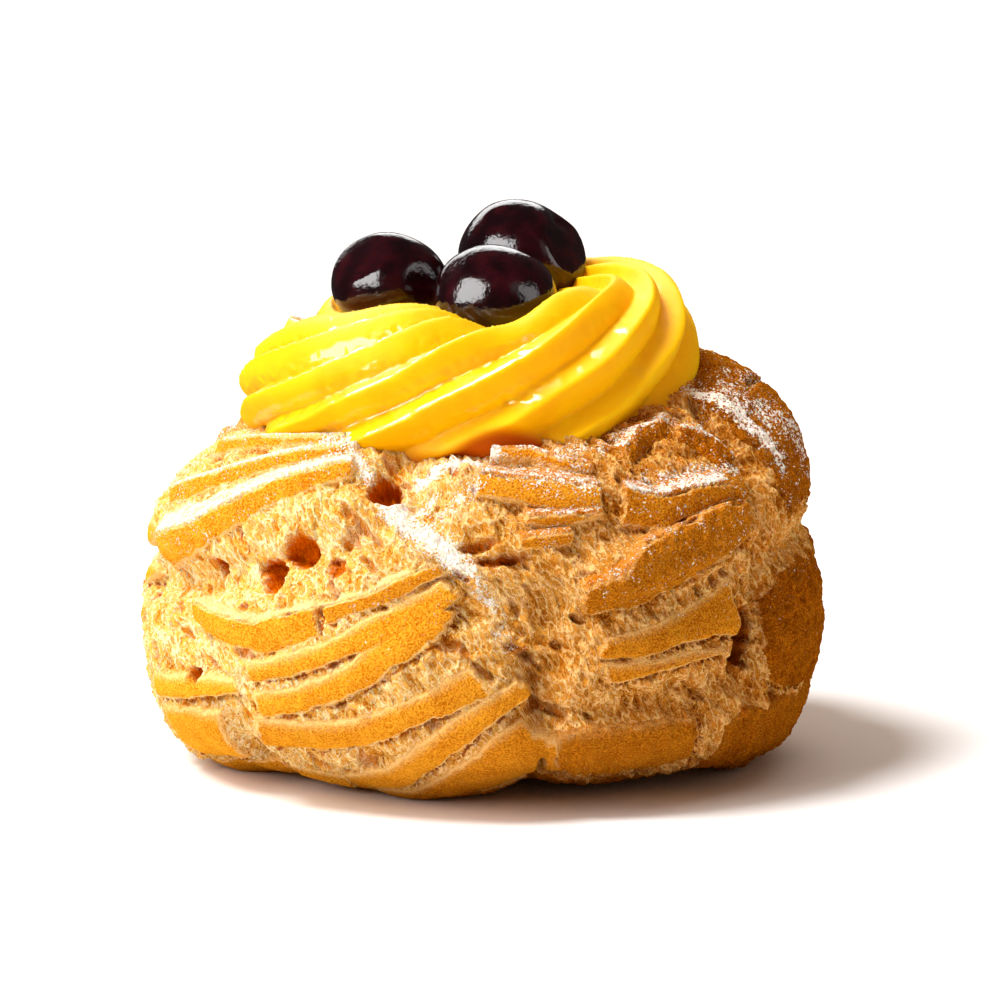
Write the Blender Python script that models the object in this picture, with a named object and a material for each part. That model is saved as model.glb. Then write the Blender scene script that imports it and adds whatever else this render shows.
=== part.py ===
"""Zeppola: a baked choux bun with a piped custard swirl and three syrup cherries on top.

The bun is worked out on a chart wrapped round it. A place on the chart is an azimuth in degrees
(0 is +X, -90 is the front) and a climb in millimetres, measured up the skin from the edge of the
flat foot. Ridges of smooth crust, torn valleys and pits are all stated on that chart.
"""

import math
from collections import namedtuple

import bmesh
import bpy
import numpy as np
from mathutils import Euler, Vector, noise

MM = 0.001

# Driving sizes of the bun, in millimetres.
FOOT_RADIUS = 30.0
CHART_RADIUS = 45.0
BUN_PROFILE = (
    (0, 0), (FOOT_RADIUS, 0), (38, 3.2), (43.3, 9.5), (46, 17), (46.4, 24), (45, 30.5), (44.9, 36),
    (42.6, 41.5), (39, 46), (34, 49.8), (29, 51), (24, 48.5), (12, 45.5), (0, 45),
)
# Depth over width: the foot touches on a shallow oval, and the bun fills out above it.
FOOT_DEPTH_TO_WIDTH = 0.70
BUN_DEPTH_TO_WIDTH = 0.94
FILLS_OUT_BY = 14.0
# The shoulder stands higher at the right and sags where the rounds part: (azimuth, lift).
SHOULDER_LIFT = (
    (-180, -5.0), (-150, -4.0), (-122, -3.0), (-92, -3.6), (-60, -2.0), (-35, 0.8),
    (-5, 5.0), (30, 5.0), (70, 2.5), (120, -1.0), (180, -5.0),
)
LIFT_FROM, LIFT_TO = 15.0, 45.0

# Levels of the skin, in millimetres out of the plain bun.
PLATE_RISE = 0.9
PLATE_CROWN = 0.7
CRUMB_DROP = 0.7
EDGE_WIDTH = 1.0
VALLEY_SHARE_ON_PLATES = 0.3
# A ridge narrows to its ends by this share, and its edge wanders by these amounts.
RIDGE_TAPER = 0.45
RAGGED_SIDES, RAGGED_ENDS = 0.45, 0.9
# Widths of the lumps in the ridges' edges, the crumb, the frill at the foot and the whole bun.
RAGGED_SIZE, CRUMB_SIZE, FRILL_SIZE, SWELL_SIZE = 2.6, 4.0, 7.0, 16.0
CRUMB_UNEVEN, FRILL_UNEVEN, SWELL_UNEVEN = 0.7, 2.0, 0.9
# Below this climb the crust is whole all round.
FRILL_CLIMB = 4.5
# The relief fades out under the foot and in the bed that the custard fills.
UNDER_FROM, UNDER_TO = -10.0, 3.0
BED_FROM, BED_TO = 68.0, 75.0

Band = namedtuple("Band", "start end bow half_width")
Valley = namedtuple("Valley", "start end bow half_width depth")
Pit = namedtuple("Pit", "azimuth climb half_width half_height depth")

# Smooth crust ridges left by the star nozzle: (azimuth, climb) at both ends, bow and half width.
FRONT_RIDGES = (
    # upper round, left slab, from its lower edge upwards
    Band((-160, 44), (-118, 58), -0.5, 1.9),
    Band((-166, 51.5), (-119, 60.5), 0.0, 1.6),
    Band((-175, 57), (-114, 64.5), 0.5, 1.9),
    Band((-178, 46), (-168, 44), 0.0, 2.2),
    Band((-190, 32), (-166, 33), 0.0, 8.0),
    # lower round, left fan, from the top downwards
    Band((-150.5, 36), (-99, 44.5), -5.0, 1.7),
    Band((-131, 27.5), (-96, 41.5), -1.5, 1.5),
    Band((-130.5, 23), (-94, 37.5), -2.5, 1.5),
    Band((-131, 18), (-88, 32), -4.0, 1.9),
    Band((-118, 8), (-84, 26.5), -1.5, 1.5),
    Band((-112, 4.5), (-79, 22), -1.0, 2.3),
    Band((-157, 21), (-145, 20), 0.0, 1.3),
    Band((-163, 10), (-135.5, 7), -1.0, 4.5),
    # upper round, middle and right
    Band((-93, 58), (-69, 55.5), 0.5, 2.0),
    Band((-90, 63), (-66, 60.5), 0.5, 1.4),
    Band((-82.5, 51.8), (-68.5, 51.3), 0.0, 1.0),
    Band((-82.5, 48.5), (-74, 49), 0.0, 0.9),
    Band((-64, 52), (-38, 52), 0.0, 2.7),
    # lower round, right plates, from the top downwards
    Band((-73.5, 41), (-39, 46), -0.5, 2.9),
    Band((-71, 31), (-39.5, 37.5), -1.0, 3.0),
    Band((-79, 13), (-50, 13.5), 0.0, 4.6),
    Band((-45.5, 10), (-8, 12.5), 0.0, 8.5),
    # the two swollen lobes at the right
    Band((-27, 51.5), (30, 51.5), 0.0, 9.5),
    Band((-32, 29), (26, 29.5), 0.0, 7.4),
)

# The back repeats the front's fans of ridges by rule.
Fan = namedtuple("Fan", "first last lowest count")
BACK_FANS = (
    # lower round
    Fan(33, 80, 4, 5),
    Fan(86, 133, 6, 5),
    Fan(139, 168, 3, 5),
    # upper round
    Fan(36, 102, 44, 3),
    Fan(109, 165, 43, 3),
)
FAN_PITCH = 6.3
FAN_CLIMB = 7.0
FAN_HALF_WIDTH = 2.2
FAN_BOW = -2.0
FAN_MARGIN = 3.0

# Torn valleys between the rounds and the sections.
VALLEYS = (
    Valley((-106.5, 62.5), (-79, 35), -3.0, 5.5, 3.4),
    Valley((-97, 76), (-84, 60), 0.0, 7.0, 2.0),
    Valley((-79, 40), (-81, -6), 0.0, 3.6, 3.4),
    Valley((-173.5, 37), (-109, 50), -2.5, 4.2, 2.8),
    Valley((-72.5, 46.5), (-41.5, 45.5), 3.0, 3.0, 1.4),
    Valley((-82, 22.5), (-38.5, 25.5), 0.0, 3.0, 2.0),
    Valley((-31, 61), (-38, 19), 0.0, 2.6, 2.6),
    Valley((-34, 40.5), (75, 39), 0.0, 2.4, 1.8),
    Valley((-156.5, 40.5), (-133.5, 4), 4.0, 4.0, 2.2),
    Valley((28, 63.5), (30, 4.5), 0.0, 3.2, 2.4),
    Valley((83, 38), (85, 0), 1.0, 3.2, 2.4),
    Valley((136, 38), (134, 0), -1.0, 3.2, 2.4),
    Valley((105, 66), (107, 42), 0.0, 3.4, 2.4),
    Valley((75, 40), (196.5, 42), 1.5, 3.2, 2.0),
)

PITS = (
    Pit(-127.5, 43, 3.6, 3.6, 3.2),
    Pit(-142, 41, 1.6, 2.0, 2.0),
    Pit(-109.5, 59, 2.8, 2.6, 3.6),
    Pit(-84, 45, 4.2, 1.2, 2.4),
    Pit(-35, 27.5, 1.8, 4.2, 4.0),
    Pit(-133.5, 13, 2.6, 1.6, 2.2),
    Pit(-173, 32.5, 1.6, 2.4, 1.6),
    Pit(55, 42.5, 3.2, 2.4, 2.6),
    Pit(104, 44, 3.8, 2.6, 2.8),
    Pit(152, 42.5, 3.0, 2.8, 2.8),
)

# The ball that is wrapped on the chart, with (share of its rings, climb reached), and the share
# of its faces that is kept in the end.
BUN_SEGMENTS, BUN_RINGS = 240, 132
BUN_SPACING = ((0.08, -2.0), (0.93, 76.0))
BUN_KEEP = 0.135


def smooth_curve(points, steps=24):
    """A Catmull-Rom curve through the points, as one array."""
    points = np.array(points, float)
    ends = np.vstack([2 * points[0] - points[1], points, 2 * points[-1] - points[-2]])
    t = np.linspace(0, 1, steps, endpoint=False)[:, None]
    stretches = []
    for a, b, c, d in zip(ends, ends[1:], ends[2:], ends[3:]):
        stretches.append(
            0.5 * (2 * b + (c - a) * t + (2 * a - 5 * b + 4 * c - d) * t**2
                   + (3 * b - a - 3 * c + d) * t**3)
        )
    return np.vstack([*stretches, points[-1:]])


def smooth_step(value, low, high):
    t = np.clip((value - low) / (high - low), 0, 1)
    return t * t * (3 - 2 * t)


class TurnedProfile:
    """A turned outline that is read by the distance along it, counted from its second point."""

    def __init__(self, points):
        self.curve = smooth_curve(points)
        steps = np.linalg.norm(np.diff(self.curve, axis=0), axis=1)
        along = np.concatenate([[0], np.cumsum(steps)])
        self.start = -np.linalg.norm(np.subtract(points[1], points[0]))
        self.along = along + self.start
        self.end = self.along[-1]

    def at(self, climb):
        radius = np.interp(climb, self.along, self.curve[:, 0])
        return radius, np.interp(climb, self.along, self.curve[:, 1])


def lumps(points, size, seed=0.0):
    """Soft noise from -1 to 1 at each point; size is the width of a lump in the points' unit."""
    shift = Vector((seed, 2.7 * seed, -1.3 * seed))
    return np.array([noise.noise(Vector(p) / size + shift) for p in points])


def outward(surface, azimuth, climb):
    """Unit normals of a surface that is a function of azimuth in degrees and climb."""
    here = surface(azimuth, climb)
    east = surface(azimuth + 0.2, climb) - here
    up = surface(azimuth, climb + 0.05) - surface(azimuth, climb - 0.05)
    normal = np.cross(east, up)
    length = np.linalg.norm(normal, axis=1, keepdims=True)
    return np.where(length > 1e-9, normal / np.maximum(length, 1e-9), (0.0, 0.0, 1.0))


def along_and_across(azimuth, climb, line):
    """Share of the way along a bowed line on the chart, distance across it, and its length."""
    middle = (line.start[0] + line.end[0]) / 2
    turn = (azimuth - middle + 180) % 360 - 180
    scale = math.radians(1) * CHART_RADIUS
    start = np.array(((line.start[0] - middle) * scale, line.start[1]))
    run = np.array(((line.end[0] - middle) * scale, line.end[1])) - start
    length = np.linalg.norm(run)
    from_start = np.stack([turn * scale, climb], 1) - start
    share = from_start @ run / length**2
    across = (from_start[:, 1] * run[0] - from_start[:, 0] * run[1]) / length
    bowed = line.bow * (1 - (2 * np.clip(share, 0, 1) - 1) ** 2)
    return share, across - bowed, length


def plate(azimuth, climb, band, raggedness):
    """Crust cover from 0 to 1, and the height of its crown, for one ridge."""
    share, across, length = along_and_across(azimuth, climb, band)
    taper = 1 - RIDGE_TAPER * np.clip(np.abs(2 * share - 1), 0, 1) ** 3
    inside = band.half_width * taper - np.abs(across) + RAGGED_SIDES * raggedness
    from_ends = (0.5 - np.abs(share - 0.5)) * length + RAGGED_ENDS * raggedness
    depth = np.minimum(inside, from_ends)
    cover = smooth_step(depth, -0.5 * EDGE_WIDTH, 0.5 * EDGE_WIDTH)
    crown = np.clip(1 - (across / band.half_width) ** 2, 0, 1)
    return cover, crown * cover


def back_ridges():
    """The fans of ridges at the back, each a little different in length, bow and width."""
    ridges = []
    for turn, fan in enumerate(BACK_FANS):
        for row in range(fan.count):
            wave = math.sin(2.3 * row + 1.9 * turn)
            other = math.cos(3.1 * row + 0.7 * turn)
            low = fan.lowest + FAN_PITCH * row
            ridges.append(Band(
                (fan.first + FAN_MARGIN * (1 + wave), low),
                (fan.last - FAN_MARGIN * (1 + other), low + FAN_CLIMB + wave),
                FAN_BOW + other,
                FAN_HALF_WIDTH + 0.4 * other,
            ))
    return tuple(ridges)


def valley_depth(azimuth, climb):
    """How far the torn valleys and pits reach below the crumb."""
    depth = np.zeros(len(climb))
    for valley in VALLEYS:
        share, across, length = along_and_across(azimuth, climb, valley)
        past = np.maximum(0, np.abs(share - 0.5) - 0.5) * length
        reach = np.hypot(across, past) / valley.half_width
        depth = np.maximum(depth, valley.depth * np.exp(-reach**2))
    for pit in PITS:
        turn = (azimuth - pit.azimuth + 180) % 360 - 180
        sideways = turn * math.radians(1) * CHART_RADIUS / pit.half_width
        reach = np.hypot(sideways, (climb - pit.climb) / pit.half_height)
        depth = depth + pit.depth * smooth_step(-reach, -1.15, -0.45)
    return depth


def shoulder_lift(azimuth):
    turns, lifts = zip(*SHOULDER_LIFT)
    return np.interp((azimuth + 180) % 360 - 180, turns, lifts)


def plain_bun(azimuth, climb):
    """The bun's plain form, without ridges: a turned outline with an uneven shoulder."""
    radius, height = PROFILE.at(climb)
    angle = np.radians(azimuth)
    filled = smooth_step(height, 0.0, FILLS_OUT_BY)
    depth_to_width = FOOT_DEPTH_TO_WIDTH + (BUN_DEPTH_TO_WIDTH - FOOT_DEPTH_TO_WIDTH) * filled
    lifted = smooth_step(height, LIFT_FROM, LIFT_TO)
    return np.stack([
        radius * np.cos(angle),
        radius * np.sin(angle) * depth_to_width,
        height + lifted * shoulder_lift(azimuth) * np.minimum(radius / FOOT_RADIUS, 1.0),
    ], 1)


def bun_relief(azimuth, climb, places):
    """Height of the skin over the plain bun, in millimetres."""
    ragged = lumps(places, RAGGED_SIZE, 5.0)
    frill = FRILL_CLIMB + FRILL_UNEVEN * lumps(places, FRILL_SIZE, 9.0)
    cover = smooth_step(frill - climb, -0.5 * EDGE_WIDTH, 0.5 * EDGE_WIDTH)
    crown = np.zeros(len(climb))
    for band in FRONT_RIDGES + back_ridges():
        one_cover, one_crown = plate(azimuth, climb, band, ragged)
        cover = np.maximum(cover, one_cover)
        crown = np.maximum(crown, one_crown)
    torn = valley_depth(azimuth, climb)
    crumb = -CRUMB_DROP + CRUMB_UNEVEN * lumps(places, CRUMB_SIZE, 2.0) - torn
    skin = PLATE_RISE + PLATE_CROWN * crown - VALLEY_SHARE_ON_PLATES * torn
    relief = crumb + (skin - crumb) * cover + SWELL_UNEVEN * lumps(places, SWELL_SIZE, 1.0)
    under = smooth_step(climb, UNDER_FROM, UNDER_TO)
    bed = 1 - smooth_step(climb, BED_FROM, BED_TO)
    return relief * under * bed


def bun_surface(azimuth, climb):
    plain = plain_bun(azimuth, climb)
    relief = bun_relief(azimuth, climb, plain)
    return plain + outward(plain_bun, azimuth, climb) * relief[:, None]


# The custard: a low hidden round of piping under the main swirl, in millimetres.
CUSTARD_PROFILE = (
    (0, 40), (18, 40), (25.5, 43.5), (29, 47), (29.4, 49.6), (29.9, 52), (30.4, 55.5),
    (29.3, 60), (26.3, 64), (21.5, 65.6), (15, 64.4), (7, 62), (0, 61.4),
)
TIER_CENTRE = (0.0, -1.6)
SWIRL_CENTRE = (-1.9, -1.0)
CUSTARD_DEPTH_TO_WIDTH = 0.95
# Rise per millimetre to the right, at the foot and at the crest, and to the back.
FOOT_TILT, CREST_TILT, BACK_TILT = 0.05, 0.16, 0.03
CREST_FROM, CREST_TO = 48.0, 66.0
# The front cherry has sunk into the rim: middle, half width and depth of the dent.
DENT = ((1.8, -19.5), 7.5, 3.2)
# Ridges of the nozzle: how far each runs round per millimetre that it climbs, its height, the
# share of its width that is the long face, and the turn of the first one.
SWIRL_RIDGES = 12
SWIRL_PITCH = 1.75
SWIRL_HEIGHT = 2.3
SWIRL_GROOVE = 0.76
SWIRL_START = 128.0
SWIRL_SWAY = 5.0
SWIRL_UNEVEN = 0.3
SWIRL_SUNK = 0.45
# The swirl starts at this climb, over the low round, and its ridges fade towards the middle.
TIER_CLIMB = 14.0
FADE_FROM, FADE_TO = 26.0, 6.0
FADE = 0.75
INNER_RADIUS = 5.0
CUSTARD_SEGMENTS, CUSTARD_RINGS = 144, 52
CUSTARD_KEEP = 0.17

# Cherries: centre and radii in millimetres, and the turn in degrees.
CHERRIES = {
    "cherry_left": ((-12.7, 0.0, 67.0), (8.4, 8.0, 7.2), (0, 8, 20)),
    "cherry_front": ((1.8, -12.0, 67.4), (8.6, 8.2, 6.5), (0, -4, 0)),
    "cherry_back": ((5.7, 7.0, 70.4), (9.0, 8.6, 7.8), (0, 12, -15)),
}
CHERRY_SEGMENTS, CHERRY_RINGS = 22, 12
GAP = 0.35


def swirl_twist(climb):
    """Degrees that a ridge has turned round the custard by the time it has climbed this far."""
    radius, _ = SWIRL.at(SWIRL.along)
    rate = np.degrees(SWIRL_PITCH / np.maximum(radius, INNER_RADIUS))
    steps = np.diff(SWIRL.along) * (rate[:-1] + rate[1:]) / 2
    turned = np.concatenate([[0], np.cumsum(steps)])
    return np.interp(climb, SWIRL.along, turned)


def shingle(phase):
    """One piped ridge: a crest at 0, a long face falling away below it, then a narrow groove."""
    x = phase % 1.0
    face = 1 - np.clip(x / SWIRL_GROOVE, 0, 1) ** 1.7
    return np.where(x < SWIRL_GROOVE, face, smooth_step(x, SWIRL_GROOVE, 1.0))


def plain_custard(azimuth, climb):
    """The custard's form without ridges: a low round, and the swirl set a little off it on top."""
    radius, height = SWIRL.at(climb)
    angle = np.radians(azimuth)
    upper = smooth_step(climb, TIER_CLIMB - 3, TIER_CLIMB + 3)
    x = TIER_CENTRE[0] + upper * (SWIRL_CENTRE[0] - TIER_CENTRE[0]) + radius * np.cos(angle)
    y = TIER_CENTRE[1] + upper * (SWIRL_CENTRE[1] - TIER_CENTRE[1])
    y = y + radius * np.sin(angle) * CUSTARD_DEPTH_TO_WIDTH
    crest = smooth_step(height, CREST_FROM, CREST_TO)
    height = height + (FOOT_TILT + (CREST_TILT - FOOT_TILT) * crest) * x + BACK_TILT * y
    (dent_x, dent_y), width, depth = DENT
    dent = depth * np.exp(-((x - dent_x) ** 2 + (y - dent_y) ** 2) / (2 * width**2 / 4))
    return np.stack([x, y, height - dent * crest], 1)


def custard_surface(azimuth, climb):
    plain = plain_custard(azimuth, climb)
    sway = SWIRL_SWAY * lumps(plain, 14.0, 3.0)
    phase = SWIRL_RIDGES * (azimuth + SWIRL_START + sway - swirl_twist(climb)) / 360
    swell = 1 + SWIRL_UNEVEN * lumps(plain, 11.0, 6.0)
    top = smooth_step(climb, SWIRL.end - FADE_FROM, SWIRL.end - FADE_TO)
    tier = smooth_step(climb, TIER_CLIMB - 9, TIER_CLIMB)
    height = SWIRL_HEIGHT * (shingle(phase) - SWIRL_SUNK) * swell * tier * (1 - FADE * top)
    return plain + outward(plain_custard, azimuth, climb) * height[:, None]


PROFILE = TurnedProfile(BUN_PROFILE)
SWIRL = TurnedProfile(CUSTARD_PROFILE)


def clear_scene():
    for obj in list(bpy.data.objects):
        bpy.data.objects.remove(obj, do_unlink=True)


def new_collection(name):
    collection = bpy.data.collections.new(name)
    bpy.context.scene.collection.children.link(collection)
    return collection


def material(name, colour, roughness):
    made = bpy.data.materials.new(name)
    made.use_nodes = True
    shader = made.node_tree.nodes["Principled BSDF"]
    shader.inputs["Base Color"].default_value = (*colour, 1.0)
    shader.inputs["Roughness"].default_value = roughness
    shader.inputs["Metallic"].default_value = 0.0
    return made


def ball(segments, rings):
    bm = bmesh.new()
    bmesh.ops.create_uvsphere(bm, u_segments=segments, v_segments=rings, radius=1.0)
    return bm


def add_object(name, bm, collection, finish, parent):
    mesh = bpy.data.meshes.new(name)
    bm.to_mesh(mesh)
    bm.free()
    mesh.shade_smooth()
    mesh.materials.append(finish)
    obj = bpy.data.objects.new(name, mesh)
    collection.objects.link(obj)
    obj.parent = parent
    return obj


def wrap(bm, surface, profile, spacing):
    """Moves a ball's vertices onto a chart surface; spacing says how the rings spread over the climb."""
    directions = np.array([v.co for v in bm.verts])
    azimuth = np.degrees(np.arctan2(directions[:, 1], directions[:, 0]))
    share = 1 - np.arccos(np.clip(directions[:, 2], -1, 1)) / math.pi
    climbs = [profile.start, *(c for _, c in spacing), profile.end]
    climb = np.interp(share, [0.0, *(s for s, _ in spacing), 1.0], climbs)
    places = surface(azimuth, climb)
    places[:, 2] = np.maximum(places[:, 2], 0.0)
    for vertex, place in zip(bm.verts, places):
        vertex.co = Vector(place) * MM


def thin_out(obj, keep):
    modifier = obj.modifiers.new("Decimate", "DECIMATE")
    modifier.ratio = keep


def make_bun(collection, parent):
    """The choux: ridged crust plates standing over torn crumb, on a flat foot."""
    bm = ball(BUN_SEGMENTS, BUN_RINGS)
    wrap(bm, bun_surface, PROFILE, BUN_SPACING)
    obj = add_object("choux", bm, collection, material("choux", (0.70, 0.38, 0.11), 0.75), parent)
    thin_out(obj, BUN_KEEP)
    return obj


def make_custard(collection, parent):
    bm = ball(CUSTARD_SEGMENTS, CUSTARD_RINGS)
    wrap(bm, custard_surface, SWIRL, ((0.1, 2.0), (0.9, SWIRL.end - 9)))
    finish = material("custard", (0.95, 0.66, 0.04), 0.35)
    obj = add_object("custard", bm, collection, finish, parent)
    thin_out(obj, CUSTARD_KEEP)
    return obj


def cherry_mesh(radii):
    """A stoned syrup cherry: an oval, a little flat on top, with a shallow dimple and a soft fold."""
    bm = ball(CHERRY_SEGMENTS, CHERRY_RINGS)
    for vertex in bm.verts:
        x, y, z = vertex.co
        dimple = 0.13 * math.exp(-((x - 0.55) ** 2 + (z - 0.75) ** 2 + y**2) / 0.05)
        fold = 0.03 * math.sin(3.0 * x + 2.0 * y) * max(0.0, z)
        vertex.co *= 1 - dimple - fold
        vertex.co = Vector(c * r * MM for c, r in zip(vertex.co, radii))
    return bm


def make_cherries(collection, parent):
    finish = material("cherry", (0.05, 0.004, 0.006), 0.1)
    made = []
    for name, (centre, radii, turn) in CHERRIES.items():
        obj = add_object(name, cherry_mesh(radii), collection, finish, parent)
        obj.location = Vector(centre) * MM
        obj.rotation_euler = Euler([math.radians(t) for t in turn])
        made.append(obj)
    return made


def grown_cutter(obj, collection):
    """A copy of a piece, grown by the gap, that cuts its seat in the custard."""
    cutter = obj.copy()
    cutter.name = obj.name + "_cutter"
    collection.objects.link(cutter)
    grow = cutter.modifiers.new("Grow", "DISPLACE")
    grow.strength = GAP * MM
    grow.mid_level = 0.0
    cutter.hide_render = True
    cutter.display_type = "WIRE"
    return cutter


def seat_in(custard, cutters):
    for cutter in cutters:
        cut = custard.modifiers.new("Seat for " + cutter.name, "BOOLEAN")
        cut.operation = "DIFFERENCE"
        cut.solver = "EXACT"
        cut.object = cutter


def stand_on_origin(root, objects):
    """Moves the whole so that the middle of its box stands on the origin."""
    bpy.context.view_layer.update()
    graph = bpy.context.evaluated_depsgraph_get()
    corners = []
    for obj in objects:
        evaluated = obj.evaluated_get(graph)
        matrix = np.array(evaluated.matrix_world)
        points = np.array([v.co for v in evaluated.data.vertices])
        corners.append(points @ matrix[:3, :3].T + matrix[:3, 3])
    points = np.vstack(corners)
    low, high = points.min(axis=0), points.max(axis=0)
    root.location = (-(low[0] + high[0]) / 2, -(low[1] + high[1]) / 2, -low[2])


def main():
    clear_scene()
    pieces = new_collection("zeppola")
    cutters = new_collection("cutters")
    root = bpy.data.objects.new("zeppola_centre", None)
    pieces.objects.link(root)
    bun = make_bun(pieces, root)
    custard = make_custard(pieces, root)
    cherries = make_cherries(pieces, root)
    seat_in(custard, [grown_cutter(obj, cutters) for obj in (bun, *cherries)])
    stand_on_origin(root, (bun, custard, *cherries))


main()
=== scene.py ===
# %% [markdown]
# # A zeppola: baked choux, piped custard and syrup cherries
#
# The real one is made of three things. A soft dough is piped through a star nozzle in two rounds,
# one on the other, and baked until the ridges brown and the dough between them tears into pale
# crumb. Custard is then piped on top with a smaller star nozzle, and three cherries from a jar of
# syrup are set in it.

# %% Load the frame
import math
from collections import namedtuple

import bmesh
import bpy
import numpy as np
from mathutils import Euler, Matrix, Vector, noise


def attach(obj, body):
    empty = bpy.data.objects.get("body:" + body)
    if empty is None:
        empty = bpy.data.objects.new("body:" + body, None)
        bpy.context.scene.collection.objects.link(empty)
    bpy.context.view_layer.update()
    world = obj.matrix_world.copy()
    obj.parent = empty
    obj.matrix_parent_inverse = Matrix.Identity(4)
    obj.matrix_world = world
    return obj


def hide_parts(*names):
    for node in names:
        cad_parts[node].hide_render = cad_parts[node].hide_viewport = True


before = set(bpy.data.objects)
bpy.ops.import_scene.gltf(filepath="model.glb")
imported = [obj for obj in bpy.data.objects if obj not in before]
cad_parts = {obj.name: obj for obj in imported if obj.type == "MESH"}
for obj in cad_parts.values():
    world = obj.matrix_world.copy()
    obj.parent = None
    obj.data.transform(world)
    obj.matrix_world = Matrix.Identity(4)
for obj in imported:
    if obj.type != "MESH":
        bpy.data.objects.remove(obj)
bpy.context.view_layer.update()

MM = 0.001

# %% [markdown]
# ## Camera
#
# The photograph was taken from a little above the plate with a long lens, so the bun shows hardly
# any perspective. A camera that is turned by a direction instead of by angles is easy to check: it
# stands back from the point it looks at, along its own line of sight.

# %% Camera
AIM = Vector((2.5, 0.0, 36.5)) * MM
CAMERA_DISTANCE = 0.60
CAMERA_ELEVATION = math.radians(9)
FOCAL_LENGTH = 155.4

camera = bpy.data.objects.new("camera", bpy.data.cameras.new("camera"))
bpy.context.scene.collection.objects.link(camera)
line_of_sight = Vector((0, math.cos(CAMERA_ELEVATION), -math.sin(CAMERA_ELEVATION)))
camera.location = AIM - line_of_sight * CAMERA_DISTANCE
camera.rotation_euler = line_of_sight.to_track_quat("-Z", "Y").to_euler()
camera.data.lens = FOCAL_LENGTH
camera.data.clip_start = 0.01
bpy.context.scene.camera = camera
print("camera at", [round(c, 3) for c in camera.location])

# %% [markdown]
# ## A shader written as sums
#
# Node trees are hard to read as lists of links. The small class below wraps a socket, so that
# `1 - mask * 0.5` adds the Math nodes for us, and one method makes any other node. Colours and
# vectors never go through Math, which would turn them grey, but through Mix and Vector Math.


# %% Helpers for materials
class Wire:
    """A socket that can stand in a sum of numbers."""

    def __init__(self, paint, socket):
        self.paint, self.socket = paint, socket

    def _math(self, operation, first, second):
        return self.paint.node("ShaderNodeMath", {"operation": operation}, {0: first, 1: second})

    def __add__(self, other):
        return self._math("ADD", self, other)

    def __sub__(self, other):
        return self._math("SUBTRACT", self, other)

    def __mul__(self, other):
        return self._math("MULTIPLY", self, other)

    def __rsub__(self, other):
        return self._math("SUBTRACT", other, self)

    __radd__, __rmul__ = __add__, __mul__


class Paint:
    """The nodes of one material, ending in a Principled shader."""

    def __init__(self, name, **constants):
        self.material = bpy.data.materials.new(name)
        self.material.use_nodes = True
        self.tree = self.material.node_tree
        self.shader = self.tree.nodes["Principled BSDF"]
        for socket, value in constants.items():
            self.shader.inputs[socket.replace("_", " ")].default_value = value

    def node(self, kind, settings=None, inputs=None, output=0):
        """Adds a node: its settings first, then the value or the link of each socket."""
        made = self.tree.nodes.new(kind)
        for key, value in (settings or {}).items():
            setattr(made, key, value)
        for key, value in (inputs or {}).items():
            if isinstance(value, Wire):
                self.tree.links.new(value.socket, made.inputs[key])
            else:
                made.inputs[key].default_value = value
        return Wire(self, made.outputs[output])

    def place(self):
        """Where a point is on the object, in metres."""
        return self.node("ShaderNodeTexCoord", output="Object")

    def leaning(self, angle, stretch):
        """Where a point is, turned about the Y axis and then drawn out upwards by a stretch."""
        inputs = {"Vector": self.place(), "Rotation": (0, angle, 0), "Scale": (1, 1, stretch)}
        return self.node("ShaderNodeMapping", {"vector_type": "TEXTURE"}, inputs)

    def attribute(self, name):
        return self.node("ShaderNodeAttribute", {"attribute_name": name}, output="Fac")

    def grain(self, size, place, detail):
        """Noise from 0 to 1 whose lumps are about as wide as size, in metres."""
        inputs = {"Vector": place, "Scale": 1 / size, "Detail": detail}
        return self.node("ShaderNodeTexNoise", None, inputs)

    def threads(self, size, place, width):
        """Thin winding threads: 1 where the noise crosses its middle value, 0 away from there."""
        off = self.grain(size, place, detail=1.0) - 0.5
        return 1 - self.rise(off * off, 0.0, width * width)

    def bent(self, place, size, amount):
        """The place moved about by a soft noise, so that a regular pattern loses its order."""
        inputs = {"Vector": place, "Scale": 1 / size, "Detail": 2.0}
        drift = self.node("ShaderNodeTexNoise", None, inputs, output=1)
        moved = {0: drift, 1: (amount,) * 3, 2: place}
        return self.node("ShaderNodeVectorMath", {"operation": "MULTIPLY_ADD"}, moved)

    def rise(self, value, low, high):
        """0 up to low, 1 from high, and a smooth slope between them."""
        inputs = {"Value": value, "From Min": low, "From Max": high}
        return self.node("ShaderNodeMapRange", {"interpolation_type": "SMOOTHSTEP"}, inputs)

    def mix(self, share, first, second):
        settings = {"data_type": "RGBA", "clamp_factor": True}
        colours = [c if isinstance(c, Wire) else (*c, 1.0) for c in (first, second)]
        inputs = {0: share, 6: colours[0], 7: colours[1]}
        return self.node("ShaderNodeMix", settings, inputs, output=2)

    def bump(self, height, distance):
        return self.node("ShaderNodeBump", None, {"Height": height, "Distance": distance})

    def send(self, **wires):
        for socket, wire in wires.items():
            self.tree.links.new(wire.socket, self.shader.inputs[socket.replace("_", " ")])
        return self.material


def named_rgb(red, green, blue):
    """A colour as it is seen on a screen, from 0 to 255, turned into the shader's linear values."""
    shares = [c / 255 for c in (red, green, blue)]
    return tuple(s / 12.92 if s <= 0.04045 else ((s + 0.055) / 1.055) ** 2.4 for s in shares)


print("mid grey in linear values:", [round(share, 3) for share in named_rgb(128, 128, 128)])

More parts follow.
